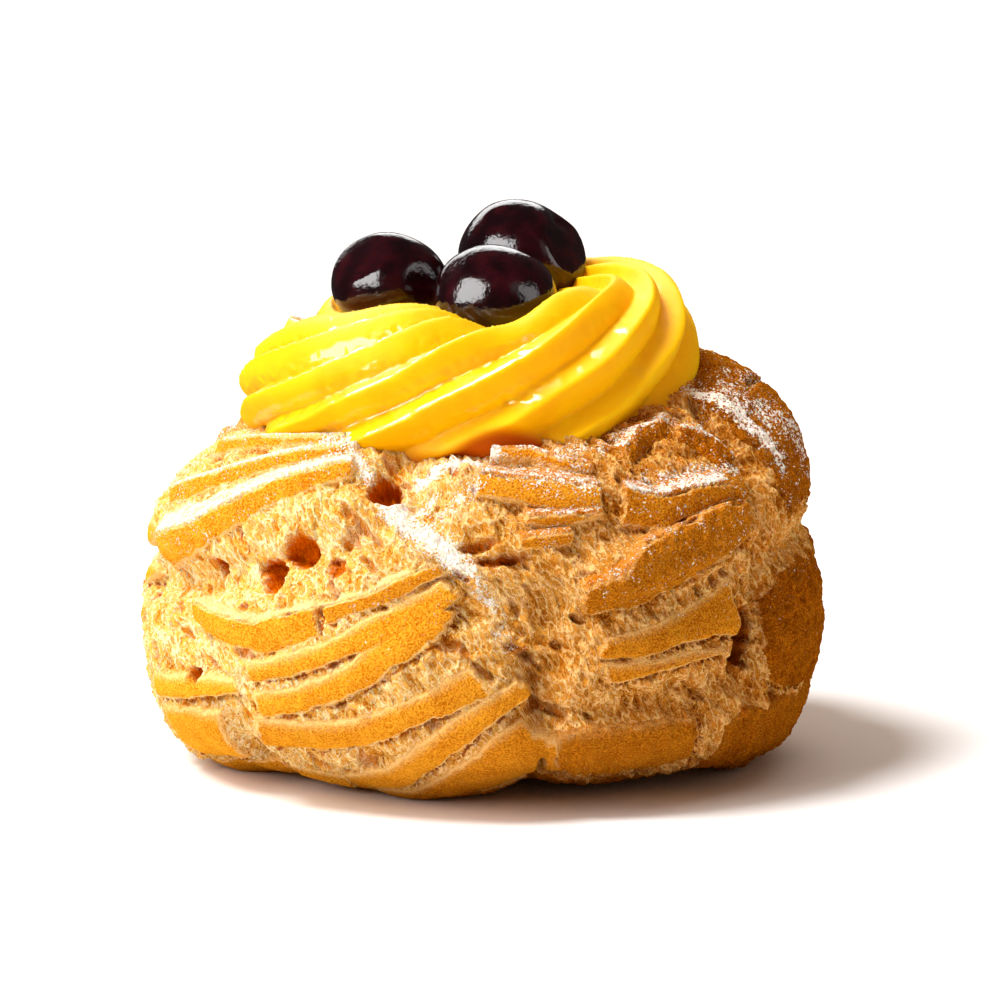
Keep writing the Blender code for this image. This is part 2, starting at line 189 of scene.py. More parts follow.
# %% [markdown]
# ## Light and floor
#
# The photograph was taken on a white sweep that is bright enough to lose its own edge, with one
# strong lamp high at the left and a little in front. A sun lamp with a wide angle gives that lamp's
# even strength over the whole floor and its soft shadow at the right. The rest are boxes, which are
# area lamps. Two of them only light the dough, because their mirror image would make the dark
# cherries milky. Four are only seen mirrored in the cherries and the custard, where their shapes
# show, and a weak fill at the right does both. The background does the same: white to the camera, a
# warm dim room for soft light, and a dark room for mirror images.

# %% Studio
SUN_DIRECTION = Vector((0.45, 0.19, -0.87))
SUN_STRENGTH = 3.45
SUN_ANGLE = math.radians(20)
WARM_AMBIENT = (0.26, 0.170, 0.105, 1.0)
WHITE_SWEEP = (1.2, 1.2, 1.2, 1.0)
DARK_ROOM = (0.05, 0.045, 0.045, 1.0)
FLOOR_SIZE = 8.0
CHERRY_LEVEL = Vector((0.0, 0.0, 0.068))
Box = namedtuple("Box", "name place energy width height mirrored lighting")
BOXES = (
    Box("soft box", (-0.50, -0.33, 0.40), 3.0, 0.50, 0.45, mirrored=False, lighting=True),
    Box("window", (-0.50, -0.42, 0.30), 12.0, 0.60, 0.52, mirrored=True, lighting=False),
    Box("overhead box", (0.15, 0.12, 0.90), 2.2, 0.90, 0.90, mirrored=False, lighting=True),
    Box("rear box", (-0.16, 0.66, 0.40), 2.4, 0.70, 0.30, mirrored=True, lighting=False),
    Box("side window", (0.59, -0.23, 0.18), 0.9, 0.30, 0.36, mirrored=True, lighting=False),
    Box("right fill", (0.50, -0.40, 0.36), 0.08, 0.24, 0.30, mirrored=True, lighting=True),
)
SHEEN_BOX = Box("sheen box", (-0.36, 0.16, 0.80), 55.0, 0.70, 0.70, mirrored=True, lighting=False)

scene = bpy.context.scene
scene.view_settings.view_transform = "Standard"
world = bpy.data.worlds.new("white studio")
scene.world = world
world.use_nodes = True
sky = world.node_tree
path = sky.nodes.new("ShaderNodeLightPath")
mixed = None
for ray, seen in (("Is Camera Ray", WHITE_SWEEP), ("Is Glossy Ray", DARK_ROOM)):
    blend = sky.nodes.new("ShaderNodeMix")
    blend.data_type = "RGBA"
    sky.links.new(path.outputs[ray], blend.inputs[0])
    blend.inputs[6].default_value = WARM_AMBIENT
    blend.inputs[7].default_value = seen
    if mixed:
        sky.links.new(mixed, blend.inputs[6])
    mixed = blend.outputs[2]
sky.links.new(mixed, sky.nodes["Background"].inputs["Color"])


def lamp(name, kind, place, direction, **settings):
    light = bpy.data.lights.new(name, kind)
    for key, value in settings.items():
        setattr(light, key, value)
    obj = bpy.data.objects.new(name, light)
    obj.location = place
    obj.rotation_euler = direction.to_track_quat("-Z", "Y").to_euler()
    scene.collection.objects.link(obj)
    return obj


def hang(box):
    """An area lamp that faces the cherries."""
    obj = lamp(box.name, "AREA", box.place, CHERRY_LEVEL - Vector(box.place),
               energy=box.energy, shape="RECTANGLE", size=box.width, size_y=box.height)
    obj.visible_glossy = box.mirrored
    obj.visible_diffuse = box.lighting
    return obj


key = lamp("key", "SUN", (0, 0, 0), SUN_DIRECTION, energy=SUN_STRENGTH, angle=SUN_ANGLE)
key.visible_glossy = False
for box in BOXES:
    hang(box)

floor_form = bmesh.new()
bmesh.ops.create_grid(floor_form, x_segments=1, y_segments=1, size=FLOOR_SIZE / 2)
floor_mesh = bpy.data.meshes.new("floor")
floor_form.to_mesh(floor_mesh)
floor_form.free()
floor = bpy.data.objects.new("floor", floor_mesh)
scene.collection.objects.link(floor)
floor_paint = Paint("white sweep", Base_Color=(0.94, 0.94, 0.94, 1), Roughness=0.8, Specular_IOR_Level=0.0)
floor_mesh.materials.append(floor_paint.material)
floor.visible_glossy = False
print("lamps:", [o.name for o in scene.objects if o.type == "LIGHT"])

# %% [markdown]
# ## A chart round the bun
#
# Ridges, tears and holes follow the bun's skin, so they are easiest to place on a chart that is
# wrapped round it. A place on the chart is an azimuth in degrees, with 0 at the right and -90 at
# the front, and a climb in millimetres up the skin from the edge of the foot. A turned outline
# gives the plain form, and everything else is a height above it.


# %% Curves and noise
CURVE_STEPS = 24


def smooth_curve(points):
    """A Catmull-Rom curve through the points, as one array."""
    points = np.array(points, float)
    ends = np.vstack([2 * points[0] - points[1], points, 2 * points[-1] - points[-2]])
    t = np.linspace(0, 1, CURVE_STEPS, endpoint=False)[:, None]
    stretches = []
    for a, b, c, d in zip(ends, ends[1:], ends[2:], ends[3:]):
        stretches.append(
            0.5 * (2 * b + (c - a) * t + (2 * a - 5 * b + 4 * c - d) * t**2
                   + (3 * b - a - 3 * c + d) * t**3)
        )
    return np.vstack([*stretches, points[-1:]])


def smooth_step(value, low, high):
    t = np.clip((value - low) / (high - low), 0, 1)
    return t * t * (3 - 2 * t)


class TurnedProfile:
    """A turned outline that is read by the distance along it, counted from its second point."""

    def __init__(self, points):
        self.curve = smooth_curve(points)
        steps = np.linalg.norm(np.diff(self.curve, axis=0), axis=1)
        self.start = -np.linalg.norm(np.subtract(points[1], points[0]))
        self.along = np.concatenate([[0], np.cumsum(steps)]) + self.start
        self.end = self.along[-1]

    def at(self, climb):
        radius = np.interp(climb, self.along, self.curve[:, 0])
        return radius, np.interp(climb, self.along, self.curve[:, 1])


def lumps(points, size, seed):
    """Soft noise from -1 to 1 at each point; size is the width of a lump."""
    shifted = points / np.array(size) + np.array((seed, 2.7 * seed, -1.3 * seed))
    return np.array([noise.noise(p) for p in shifted.tolist()])


def outward(surface, azimuth, climb):
    """Unit normals of a surface that is a function of azimuth in degrees and climb."""
    here = surface(azimuth, climb)
    east = surface(azimuth + 0.2, climb) - here
    up = surface(azimuth, climb + 0.05) - surface(azimuth, climb - 0.05)
    normal = np.cross(east, up)
    length = np.linalg.norm(normal, axis=1, keepdims=True)
    return np.where(length > 1e-9, normal / np.maximum(length, 1e-9), (0.0, 0.0, 1.0))


print("noise at two places 1 mm apart:", lumps(np.array([[0, 0, 0.5], [0, 0, 1.5]]), 4.0, 1.0).round(2))

# %% The bun's plain form
FOOT_RADIUS = 31.5
CHART_RADIUS = 45.0
BUN_PROFILE = TurnedProfile((
    (0, 0), (FOOT_RADIUS, 0), (39.8, 2.6), (44.3, 8.4), (46, 16.2), (46.4, 24), (45, 30.5), (44.9, 36),
    (42.6, 41.5), (39, 46), (34, 49.8), (29, 51), (24, 48.5), (12, 45.5), (0, 45),
))
FOOT_DEPTH_TO_WIDTH = 0.70
BUN_DEPTH_TO_WIDTH = 0.94
FILLS_OUT_BY = 14.0
SHOULDER_LIFT = (
    (-180, -5.0), (-150, -4.0), (-122, -3.0), (-92, -3.6), (-60, -2.0), (-35, 0.8),
    (-5, 5.0), (30, 5.0), (70, 2.5), (120, -1.0), (180, -5.0),
)
LIFT_FROM, LIFT_TO = 15.0, 45.0
FOOT_LIFT = (
    (-180, 0.3), (-158, 0.3), (-147, 2.0), (-136, 1.5), (-122, 0.6), (-95, 0.6), (-88, 0.7), (-82, 1.4),
    (-76, 2.2), (-66, 1.8), (-52, 2.0), (-35, 1.8), (-22, 1.2), (-8, 0.3), (60, 0.8), (110, 0.3), (180, 0.3),
)
FOOT_LIFT_TO = 8.0
FOOT_LIFTS_BETWEEN = (14.0, FOOT_RADIUS - 2)


def lift_at(azimuth, table):
    turns, lifts = zip(*table)
    return np.interp((azimuth + 180) % 360 - 180, turns, lifts)


def plain_bun(azimuth, climb):
    """The bun without ridges: a turned outline on an oval foot, with an uneven shoulder and foot."""
    radius, height = BUN_PROFILE.at(climb)
    angle = np.radians(azimuth)
    filled = smooth_step(height, 0.0, FILLS_OUT_BY)
    depth_to_width = FOOT_DEPTH_TO_WIDTH + (BUN_DEPTH_TO_WIDTH - FOOT_DEPTH_TO_WIDTH) * filled
    shoulder = smooth_step(height, LIFT_FROM, LIFT_TO) * np.minimum(radius / FOOT_RADIUS, 1.0)
    rim = (1 - smooth_step(height, 0.0, FOOT_LIFT_TO)) * smooth_step(radius, *FOOT_LIFTS_BETWEEN)
    return np.stack([
        radius * np.cos(angle),
        radius * np.sin(angle) * depth_to_width,
        height + shoulder * lift_at(azimuth, SHOULDER_LIFT) + rim * lift_at(azimuth, FOOT_LIFT),
    ], 1)


print("skin from foot to custard bed:", round(BUN_PROFILE.end, 1), "mm")

# %% [markdown]
# ## Plates of crust
#
# Each point of the star nozzle leaves a ridge, and the ridge browns first. In the oven the dough
# under the ridges swells and tears them apart, so each one ends up as a long, nearly flat plate of
# crust with a crisp lower edge, and an upper side that runs back into the crumb. A plate is stated
# as a line of places on the chart with its half width at each, so it can bend and taper the way
# the dough did. Some have a tread: a flat step above the plate, where the icing sugar stays.

# %% Where the plates of crust are
# A plate's brown is partly its own bake and partly painted shade: it is deeper on the plates at the right,
# away from the lamp, and on the low plates at the front.
Plate = namedtuple("Plate", "line tread sugar brown", defaults=(0.0, 0.0, 0.0))
Valley = namedtuple("Valley", "start end bow half_width depth")
Pit = namedtuple("Pit", "azimuth climb half_width half_height depth")
Dusting = namedtuple("Dusting", "start end bow half_width amount")

LEFT_SLAB = (
    Plate(((-158, 43.3, 2.5), (-146.5, 46.4, 1.9), (-138, 50.5, 1.6), (-130, 54, 1.4), (-117, 58.4, 1.1)),
          3.8, 0.72, 0.1),
    Plate(((-161.5, 51, 1.3), (-151, 53.5, 1.2), (-143.5, 56, 1.1), (-135, 59, 0.9), (-119, 62.1, 0.7)),
          3.2, 0.72, 0.1),
    Plate(((-166, 60, 1), (-148, 62.2, 0.7), (-119, 64.4, 0.5)), 4.0, 0.6, 0.1),
    Plate(((-192, 47.4, 1.2), (-182, 45.6, 2.3), (-171, 45, 2.2), (-163, 46.4, 1.0))),
    Plate(((-204, 35.8, 1.3), (-193, 35, 2.3), (-182, 36.2, 2.0), (-174, 38.4, 1.0))),
    Plate(((-205, 28.2, 1.4), (-192, 28, 2.5), (-180, 29.4, 2.2), (-171, 32, 1.1))),
)
LEFT_FAN = (
    Plate(((-145, 34.6, 1.7), (-137, 33.2, 1.9), (-127.5, 32.6, 2.1), (-117.5, 35.6, 2.2)), 1.6, 0.1),
    Plate(((-115.5, 37, 1.5), (-111, 39, 1.5), (-104, 42, 1.3), (-97, 45.2, 1.0)), 0.8, 0.1, 0.1),
    Plate(((-129, 27.8, 1.5), (-122, 29.3, 1.7), (-116, 31.3, 1.7), (-111, 33.4, 1.8), (-105, 36, 2.6),
           (-100, 38.6, 2.8), (-95.5, 42.2, 2)), brown=0.1),
    Plate(((-128, 23.3, 2.0), (-120, 24.8, 2.1), (-114, 26.8, 2.1), (-109, 29.3, 2.2), (-104, 33, 2.6),
           (-99.5, 36.5, 3), (-97, 39.5, 2.6)), brown=0.1),
    Plate(((-129, 19.3, 2.5), (-117.5, 19.8, 2.1), (-110, 20.8, 2), (-103, 23.3, 2), (-96, 25.8, 2.2),
           (-90.5, 28.3, 2.7)), brown=0.25),
    Plate(((-115, 9.3, 2.4), (-104.5, 14.0, 2.4), (-96, 20.2, 2), (-89.5, 23.8, 1.9), (-83.5, 27, 1.7)),
          brown=0.3),
    Plate(((-110, 6.3, 1.8), (-100, 8.8, 2.8), (-92, 12.4, 4.6), (-84.5, 16, 6.0), (-80, 18.5, 5.5)),
          brown=0.5),
    Plate(((-131, 8.3, 2.6), (-116.5, 8.3, 2.4)), brown=0.3),
    Plate(((-163, 14.3, 4.2), (-150, 14.8, 5.6), (-140.5, 15.3, 5.2)), brown=0.1),
    Plate(((-164, 21.5, 2), (-146, 23.4, 1.8), (-133, 25.4, 1.2))),
)
UPPER_MIDDLE = (
    Plate(((-87, 62.8, 0.7), (-79, 61.8, 0.7), (-74, 59.3, 0.6), (-68.5, 58, 0.6)), 2.4, 0.55, 0.3),
    Plate(((-90, 57, 1.6), (-82.5, 55.8, 1.4), (-76, 54.5, 1.8), (-69, 53.5, 1.4)), 3.0, 0.55, 0.25),
    Plate(((-81.5, 51.5, 0.5), (-75, 51, 0.6), (-69, 51, 0.4)), 1.8, 0.5, 0.35),
    Plate(((-83, 48.5, 0.8), (-79, 48.3, 1), (-75, 48.6, 0.8)), 1.4, 0.4, 0.4),
)
RIGHT_PLATES = (
    Plate(((-63, 52, 2.4), (-56.5, 50.3, 2.1), (-49, 50.5, 1.5), (-42.5, 50, 1.1)), 2.6, 0.7, 0.6),
    Plate(((-72.5, 40, 2.6), (-66, 40.5, 2.9), (-60, 43.2, 3.7), (-53, 44.5, 3.5), (-46.5, 45.7, 3.2),
           (-41, 46, 2.2)), 0.9, 0.45, 0.68),
    Plate(((-70, 32.5, 1.7), (-63.5, 32.6, 2), (-56, 34, 2.3), (-49, 35, 3.2), (-44, 35.5, 4.2)),
          brown=0.5),
    Plate(((-69, 28.8, 1.7), (-62, 29.3, 1.2), (-54, 30, 1), (-48, 30, 0.6)), brown=0.5),
    Plate(((-76.5, 17, 3.8), (-68, 17, 4.6), (-58.5, 17, 4.8), (-51.5, 18.5, 3.6)), brown=0.72),
    Plate(((-41, 51.5, 3), (-37.5, 51, 2.8)), brown=0.7),
    Plate(((-57, 60, 1.0), (-51, 61.8, 1.3), (-46, 61.3, 1.2)), 2.2, 0.7, 0.8),
    Plate(((-43.5, 59.5, 1.4), (-40, 56.5, 1.8), (-38.5, 53.5, 1.6)), 2.2, 0.7, 0.85),
    Plate(((-45, 14, 5.5), (-30, 13, 8.5), (-12, 12.5, 8.8), (2, 11.5, 7), (13, 10.5, 5), (23, 9, 2.5)),
          brown=0.8),
    Plate(((-26, 54.5, 10.5), (-12, 55.5, 12), (2, 55, 12), (12, 54.5, 10), (19, 54, 7), (24, 53.5, 3.5)),
          brown=0.82),
    Plate(((-33.5, 29.5, 6), (-24, 30, 8), (-6, 29, 8.6), (8, 29.5, 8), (17, 30, 6), (23, 31, 3)),
          brown=0.85),
)
Fan = namedtuple("Fan", "first last lowest count")
LOWER_FANS = (Fan(33, 80, 4, 5), Fan(86, 133, 6, 5), Fan(139, 168, 3, 5))
UPPER_FANS = (Fan(36, 102, 44, 3), Fan(109, 165, 43, 3))
FAN_PITCH = 6.3
FAN_CLIMB = 7.0
FAN_HALF_WIDTH, FAN_WIDTH_VARIES, FAN_TAPER = 2.5, 0.4, 0.9
FAN_BOW = -2.0
FAN_MARGIN = 3.0
FAN_POINTS = 7
FAN_TREAD, FAN_SUGAR, FAN_BROWN = 1.5, 0.6, 0.35


def back_plates():
    """The fans of plates at the back, each a little different in length, bow and width.

    The two waves only make the plates differ, and their steps never repeat within the fans.
    """
    made = []
    for turn, fan in enumerate(LOWER_FANS + UPPER_FANS):
        for row in range(fan.count):
            wave = math.sin(2.3 * row + 1.9 * turn)
            other = math.cos(3.1 * row + 0.7 * turn)
            first = fan.first + FAN_MARGIN * (1 + wave)
            last = fan.last - FAN_MARGIN * (1 + other)
            low = fan.lowest + FAN_PITCH * row
            line = []
            for share in np.linspace(0, 1, FAN_POINTS):
                bow = (FAN_BOW + other) * (1 - (2 * share - 1) ** 2)
                width = FAN_HALF_WIDTH + FAN_WIDTH_VARIES * other - FAN_TAPER * abs(2 * share - 1) ** 3
                line.append((first + (last - first) * share, low + (FAN_CLIMB + wave) * share + bow, width))
            tread, sugar = (FAN_TREAD, FAN_SUGAR) if fan in UPPER_FANS else (0.0, 0.0)
            made.append(Plate(tuple(line), tread, sugar, FAN_BROWN))
    return tuple(made)


PLATES = LEFT_SLAB + LEFT_FAN + UPPER_MIDDLE + RIGHT_PLATES + back_plates()
print("plates of crust:", len(PLATES))

# %% Where the dough tore and the sugar fell
VALLEYS = (
    Valley((-106.5, 62.5), (-79, 35), -3.0, 5.5, 2.7),
    Valley((-97, 76), (-84, 60), 0.0, 7.0, 2.0),
    Valley((-79, 40), (-81, -6), 0.0, 3.6, 3.4),
    Valley((-82, 31), (-79.5, 3), 0.8, 1.5, 4.8),
    Valley((-173.5, 37), (-109, 50), -2.5, 4.2, 2.8),
    Valley((-94, 48.5), (-83, 45.5), 0.4, 1.3, 2.4),
    Valley((-72.5, 46.5), (-41.5, 45.5), 3.0, 3.0, 1.4),
    Valley((-82, 22.5), (-38.5, 25.5), 0.0, 3.0, 2.0),
    Valley((-31, 61), (-38, 19), 0.0, 2.6, 2.6),
    Valley((-34, 40.5), (75, 39), 0.0, 2.4, 1.8),
    Valley((-156.5, 40.5), (-133.5, 4), 4.0, 4.0, 2.2),
    Valley((28, 63.5), (30, 4.5), 0.0, 3.2, 2.4),
    Valley((83, 38), (85, 0), 1.0, 3.2, 2.4),
    Valley((136, 38), (134, 0), -1.0, 3.2, 2.4),
    Valley((105, 66), (107, 42), 0.0, 3.4, 2.4),
    Valley((75, 40), (196.5, 42), 1.5, 3.2, 2.0),
)
CRACKS = (
    Valley((-79.5, 16), (-80.5, 4), 0.3, 0.55, 2.2),
    Valley((-51.5, 24), (-49, 11), -0.6, 0.6, 2.0),
    Valley((-134, 22), (-130, 8), 0.8, 0.6, 1.8),
    Valley((-116.5, 38), (-116, 34), 0.0, 0.5, 1.8),
    Valley((-9, 59.5), (25, 50), 1.6, 0.7, 2.2),
    Valley((-12, 33), (26, 26.5), -1.6, 0.7, 2.2),
    Valley((2, 22), (6, 2), 0.6, 0.6, 2.0),
)
MASSES = (
    Valley((-168, 47), (-120, 58), 0.0, 6.0, 1.2),
    Valley((-70, 42), (-42, 47), 0.0, 5.5, 1.6),
    Valley((-132, 27), (-98, 36), 0.0, 9.0, 0.8),
    Valley((-90, 58), (-70, 55.5), 0.0, 6.0, 1.1),
    Valley((-76, 16), (-50, 17), 0.0, 6.0, 0.8),
    Valley((-102, 11), (-84, 16), 0.0, 6.0, 0.7),
)
PITS = (
    Pit(-123.5, 46.5, 2.6, 3.2, 2.8),
    Pit(-129, 42.2, 2.4, 3.0, 2.4),
    Pit(-143, 42.5, 1.4, 2.0, 1.4),
    Pit(-115.5, 44.5, 1.7, 1.7, 1.2),
    Pit(-109.8, 57.8, 2.6, 3.0, 3.4),
    Pit(-91, 49.2, 3.0, 0.9, 1.1),
    Pit(-86.5, 46.8, 3.6, 1.0, 1.3),
    Pit(-39.5, 30, 3.2, 5.0, 4.4),
    Pit(-35.5, 50.5, 0.9, 1.8, 1.6),
    Pit(-36.5, 44, 0.9, 1.6, 1.4),
    Pit(-33.5, 56, 0.8, 1.6, 1.4),
    Pit(-133.5, 13, 2.6, 1.6, 2.2),
    Pit(-147, 24.5, 1.4, 1.2, 1.4),
    Pit(-173, 32.5, 1.6, 2.4, 1.6),
    Pit(55, 42.5, 3.2, 2.4, 2.6),
    Pit(104, 44, 3.8, 2.6, 2.8),
    Pit(152, 42.5, 3.0, 2.8, 2.8),
)
DUSTINGS = (
    Dusting((-107.5, 55), (-93, 46.3), 0.0, 2.4, 0.85),
    Dusting((-93, 46), (-85, 33), 0.5, 1.8, 0.45),
    Dusting((-122, 63), (-108, 54), 1.0, 1.6, 0.6),
    Dusting((-107, 53.5), (-99.5, 57), -1.0, 1.2, 0.6),
    Dusting((-103, 60), (-87, 63.5), 1.0, 2.0, 0.75),
    Dusting((-87, 60), (-70, 56), 0.0, 3.4, 0.5),
    Dusting((-101, 52.5), (-91, 57), 0.0, 1.8, 0.5),
    Dusting((-75, 62), (-50, 64), 0.0, 2.5, 0.4),
    Dusting((-57, 55.5), (-38, 52.5), 0.0, 2.0, 0.5),
    Dusting((-25, 65), (-22, 51), 0.0, 2.6, 0.7),
    Dusting((-46, 66), (-36, 60), 0.0, 1.6, 0.45),
    Dusting((-22, 62), (-8, 50), 0.0, 6.0, 0.47),
    Dusting((-14, 62), (20, 56), 0.0, 4.0, 0.36),
    Dusting((40, 62), (95, 60), 0.0, 4.5, 0.45),
    Dusting((115, 60), (170, 58), 0.0, 4.5, 0.45),
)
print("tears:", len(VALLEYS), "cracks:", len(CRACKS), "holes:", len(PITS), "dustings:", len(DUSTINGS))

# %% [markdown]
# Each plate is turned into a height over its width: it is highest a little below its middle, or,
# where it has a tread, along the upper edge that the tread runs in from. Just under the lower edge
# the crumb has shrunk away from the crust, which leaves a thin line of pores in the mesh that the
# material also darkens as painted shade. Over its upper side a plate without a tread pales, partly
# a real pale rim and partly painted light.


# %% Heights of the plates
RAGGED_SIDES, RAGGED_BY_WIDTH, RAGGED_ENDS = 0.2, 0.1, 0.6
END_ROUND, PAST_END = 0.7, 0.6
CREST_SHARE = -0.35
PLATE_RISE, PLATE_CROWN = 0.15, 0.45
STEP_LOW, STEP_HIGH, STEP_POWER = -0.1, 1.5, 0.8
TREAD_OVERLAP = 0.3
SOFT_UPPER_SIDE = 0.55
RIM_PALE = 2.6
PORE_OFFSET, PORE_WIDTH = 0.4, 0.35
FAR_OUTSIDE, FAR_INSIDE = -99.0, 9.0


def on_chart(azimuth, middle):
    """Distance round the bun from a middle azimuth, in mm."""
    return ((azimuth - middle + 180) % 360 - 180) * math.radians(1) * CHART_RADIUS


def plate_heights(azimuth, climb, plate, raggedness):
    """Depth inside the plate and its tread, height, pores below, place on the tread, and paling."""
    middle = plate.line[len(plate.line) // 2][0]
    turn = on_chart(azimuth, middle)
    line = [(float(on_chart(a, middle)), c, half) for a, c, half in plate.line]
    inside = np.full(len(climb), FAR_OUTSIDE)
    on_tread = np.full(len(climb), FAR_OUTSIDE)
    height = np.zeros(len(climb))
    pores = np.zeros(len(climb))
    rear = np.zeros(len(climb))
    fade = np.zeros(len(climb))
    for index, ((x, y, half), (next_x, next_y, next_half)) in enumerate(zip(line, line[1:])):
        length = math.hypot(next_x - x, next_y - y)
        run_x, run_y = (next_x - x) / length, (next_y - y) / length
        along = (turn - x) * run_x + (climb - y) * run_y
        side = (climb - y) * run_x - (turn - x) * run_y
        width = half + (next_half - half) * np.clip(along / length, 0, 1)
        before, after = np.maximum(-along, 0), np.maximum(along - length, 0)
        ends = np.full(len(climb), FAR_INSIDE)
        if index == 0:
            ends = np.minimum(ends, along + END_ROUND)
            before = 0.0
        if index == len(line) - 2:
            ends = np.minimum(ends, length - along + END_ROUND)
            after = 0.0
        ends = ends + RAGGED_ENDS * raggedness
        torn = (RAGGED_SIDES + RAGGED_BY_WIDTH * width) * raggedness
        here = np.minimum(width - np.hypot(side, before + after) + torn, ends)
        if not plate.tread:
            here = np.where((side > 0) & (here > 0), here * SOFT_UPPER_SIDE, here)
        nearer = here > inside
        inside = np.where(nearer, here, inside)
        share = np.clip(side / width, -1, 1)
        if plate.tread:
            rise = STEP_LOW + (STEP_HIGH - STEP_LOW) * ((share + 1) / 2) ** STEP_POWER
        else:
            below = (share - CREST_SHARE) / (1 + np.where(share < CREST_SHARE, CREST_SHARE, -CREST_SHARE))
            rise = PLATE_RISE + PLATE_CROWN * (1 - below**2)
            # Paling towards the upper side: partly a real pale rim, partly painted light where the light
            # falls from above.
            fade = np.where(nearer, smooth_step(side - width, -RIM_PALE, 0.0), fade)
        height = np.where(nearer, rise, height)
        reach = (before + after < PAST_END) & (ends > 0)
        # The line of pores is sunk into the mesh, and the material also darkens it as painted shade under the
        # plate's edge.
        line_of_pores = np.exp(-(((-side - width - torn - PORE_OFFSET) / PORE_WIDTH) ** 2))
        pores = np.where(reach, np.maximum(pores, line_of_pores), pores)
        if plate.tread:
            back = side - width
            tread = np.minimum(back + TREAD_OVERLAP, plate.tread - back + raggedness)
            tread = np.where(reach, np.minimum(tread, ends), FAR_OUTSIDE)
            rear = np.where(tread > on_tread, np.clip(back / plate.tread, 0, 1), rear)
            on_tread = np.maximum(on_tread, tread)
    return inside, on_tread, height, pores, rear, fade


def along_and_across(azimuth, climb, line):
    """Share of the way along a bowed line on the chart, distance across it, and its length."""
    middle = (line.start[0] + line.end[0]) / 2
    start = np.array((on_chart(line.start[0], middle), line.start[1]))
    run = np.array((on_chart(line.end[0], middle), line.end[1])) - start
    length = np.linalg.norm(run)
    from_start = np.stack([on_chart(azimuth, middle), climb], 1) - start
    share = from_start @ run / length**2
    across = (from_start[:, 1] * run[0] - from_start[:, 0] * run[1]) / length
    bowed = line.bow * (1 - (2 * np.clip(share, 0, 1) - 1) ** 2)
    return share, across - bowed, length


# %% Heights of the tears
PIT_RAGGED = 0.3
PIT_RIM = (-1.15, -0.6)


def line_patch(azimuth, climb, line):
    """1 along a bowed line on the chart, fading over its half width to 0."""
    share, across, length = along_and_across(azimuth, climb, line)
    past = np.maximum(0, np.abs(share - 0.5) - 0.5) * length
    return np.exp(-((np.hypot(across, past) / line.half_width) ** 2))


def valley_depth(azimuth, climb):
    """How far the torn valleys reach below the crumb."""
    depth = np.zeros(len(climb))
    for valley in VALLEYS:
        depth = np.maximum(depth, valley.depth * line_patch(azimuth, climb, valley))
    return depth


def mass_height(azimuth, climb):
    """How far the crowded ridges stand out from the plain form."""
    return sum(mass.depth * line_patch(azimuth, climb, mass) for mass in MASSES)


def patch(azimuth, climb, spot, ragged):
    """1 in the middle of a ragged oval spot on the chart, and 0 outside it."""
    turn = (azimuth - spot.azimuth + 180) % 360 - 180
    sideways = turn * math.radians(1) * CHART_RADIUS / spot.half_width
    reach = np.hypot(sideways, (climb - spot.climb) / spot.half_height) + PIT_RAGGED * ragged
    return smooth_step(-reach, *PIT_RIM)


print("depth of the tear at the front:", valley_depth(np.array([-80.0]), np.array([20.0])).round(1), "mm")

# %% [markdown]
# ## The skin
#
# Crumb is a foam that was pulled apart, so between the plates it is a web of thin upright strands
# over little hollows. Noise whose zero line is taken as a ridge gives strands, at three sizes, and
# the borders between Voronoi cells give the walls of the foam. Both are bent by a slower noise so
# that they never line up, and stretched up the skin, the way the dough tore. Here and there a small
# hole opens, and where sugar lies it fills the web. The relief of a point is the crumb's height off
# the plates, and the plate's height on them. The ridges that baked longest are wrinkled and pocked.

# %% How far each place was baked, with painted shade
PALEST, TOAST_AND_SHADE_FROM, TOAST_AND_SHADE_TO, TOAST_AND_SHADE_DEEP = -185.0, 55.0, 130.0, 0.85
LOW_PAINTED_SHADE, LOW_PAINTED_SHADE_TO = 0.5, 32.0
HIGH_TOAST, HIGH_TOAST_CLIMBS, HIGH_TOAST_TURNS = 0.6, (50.0, 60.0), (-70.0, -50.0)
CRUST_BROWN_LEAST, CRUST_BROWN_BY_TOAST_AND_SHADE = 0.1, 0.6
FOOT_BROWN, FOOT_BROWN_CLIMBS, FOOT_BROWN_TURNS = 0.4, (2.0, 17.0), (-125.0, -80.0)


def toast_and_shade_at(azimuth, climb):
    """Bake and painted shade from 0 to 1: least at the left, more at the right, at the back, low down and
    high at the right.
    """
    from_palest = np.abs((azimuth - PALEST + 180) % 360 - 180)
    # Deeper towards the right and the back, away from the lamp: partly the bake and partly painted shade.
    toast_and_shade = TOAST_AND_SHADE_DEEP * smooth_step(from_palest, TOAST_AND_SHADE_FROM, TOAST_AND_SHADE_TO)
    # Deeper low down: painted shade.
    toast_and_shade = toast_and_shade + LOW_PAINTED_SHADE * (1 - toast_and_shade) * (1 - smooth_step(climb, 0.0, LOW_PAINTED_SHADE_TO))
    high = smooth_step(climb, *HIGH_TOAST_CLIMBS) * smooth_step(azimuth, *HIGH_TOAST_TURNS)
    return toast_and_shade + HIGH_TOAST * (1 - toast_and_shade) * high


# At the right this value is partly painted shade.
left_and_right = toast_and_shade_at(np.array([-170.0, -20.0]), np.array([40.0, 40.0]))
print("baked at the left and at the right:", left_and_right.round(2))

# %% The plates laid on the skin
STEP_PORES = 0.3
TREAD_FALL = 1.3
TREAD_SUGAR_EDGE, TREAD_SUGAR_THINS = 0.6, 0.35
CRACK_RAGGED, CRACK_SHOWS, CRACK_DEEP, CRACK_SLOPE = 0.6, 0.1, 0.8, 2
Crust = namedtuple("Crust", "inside height trodden drop pores sugar fade brown")


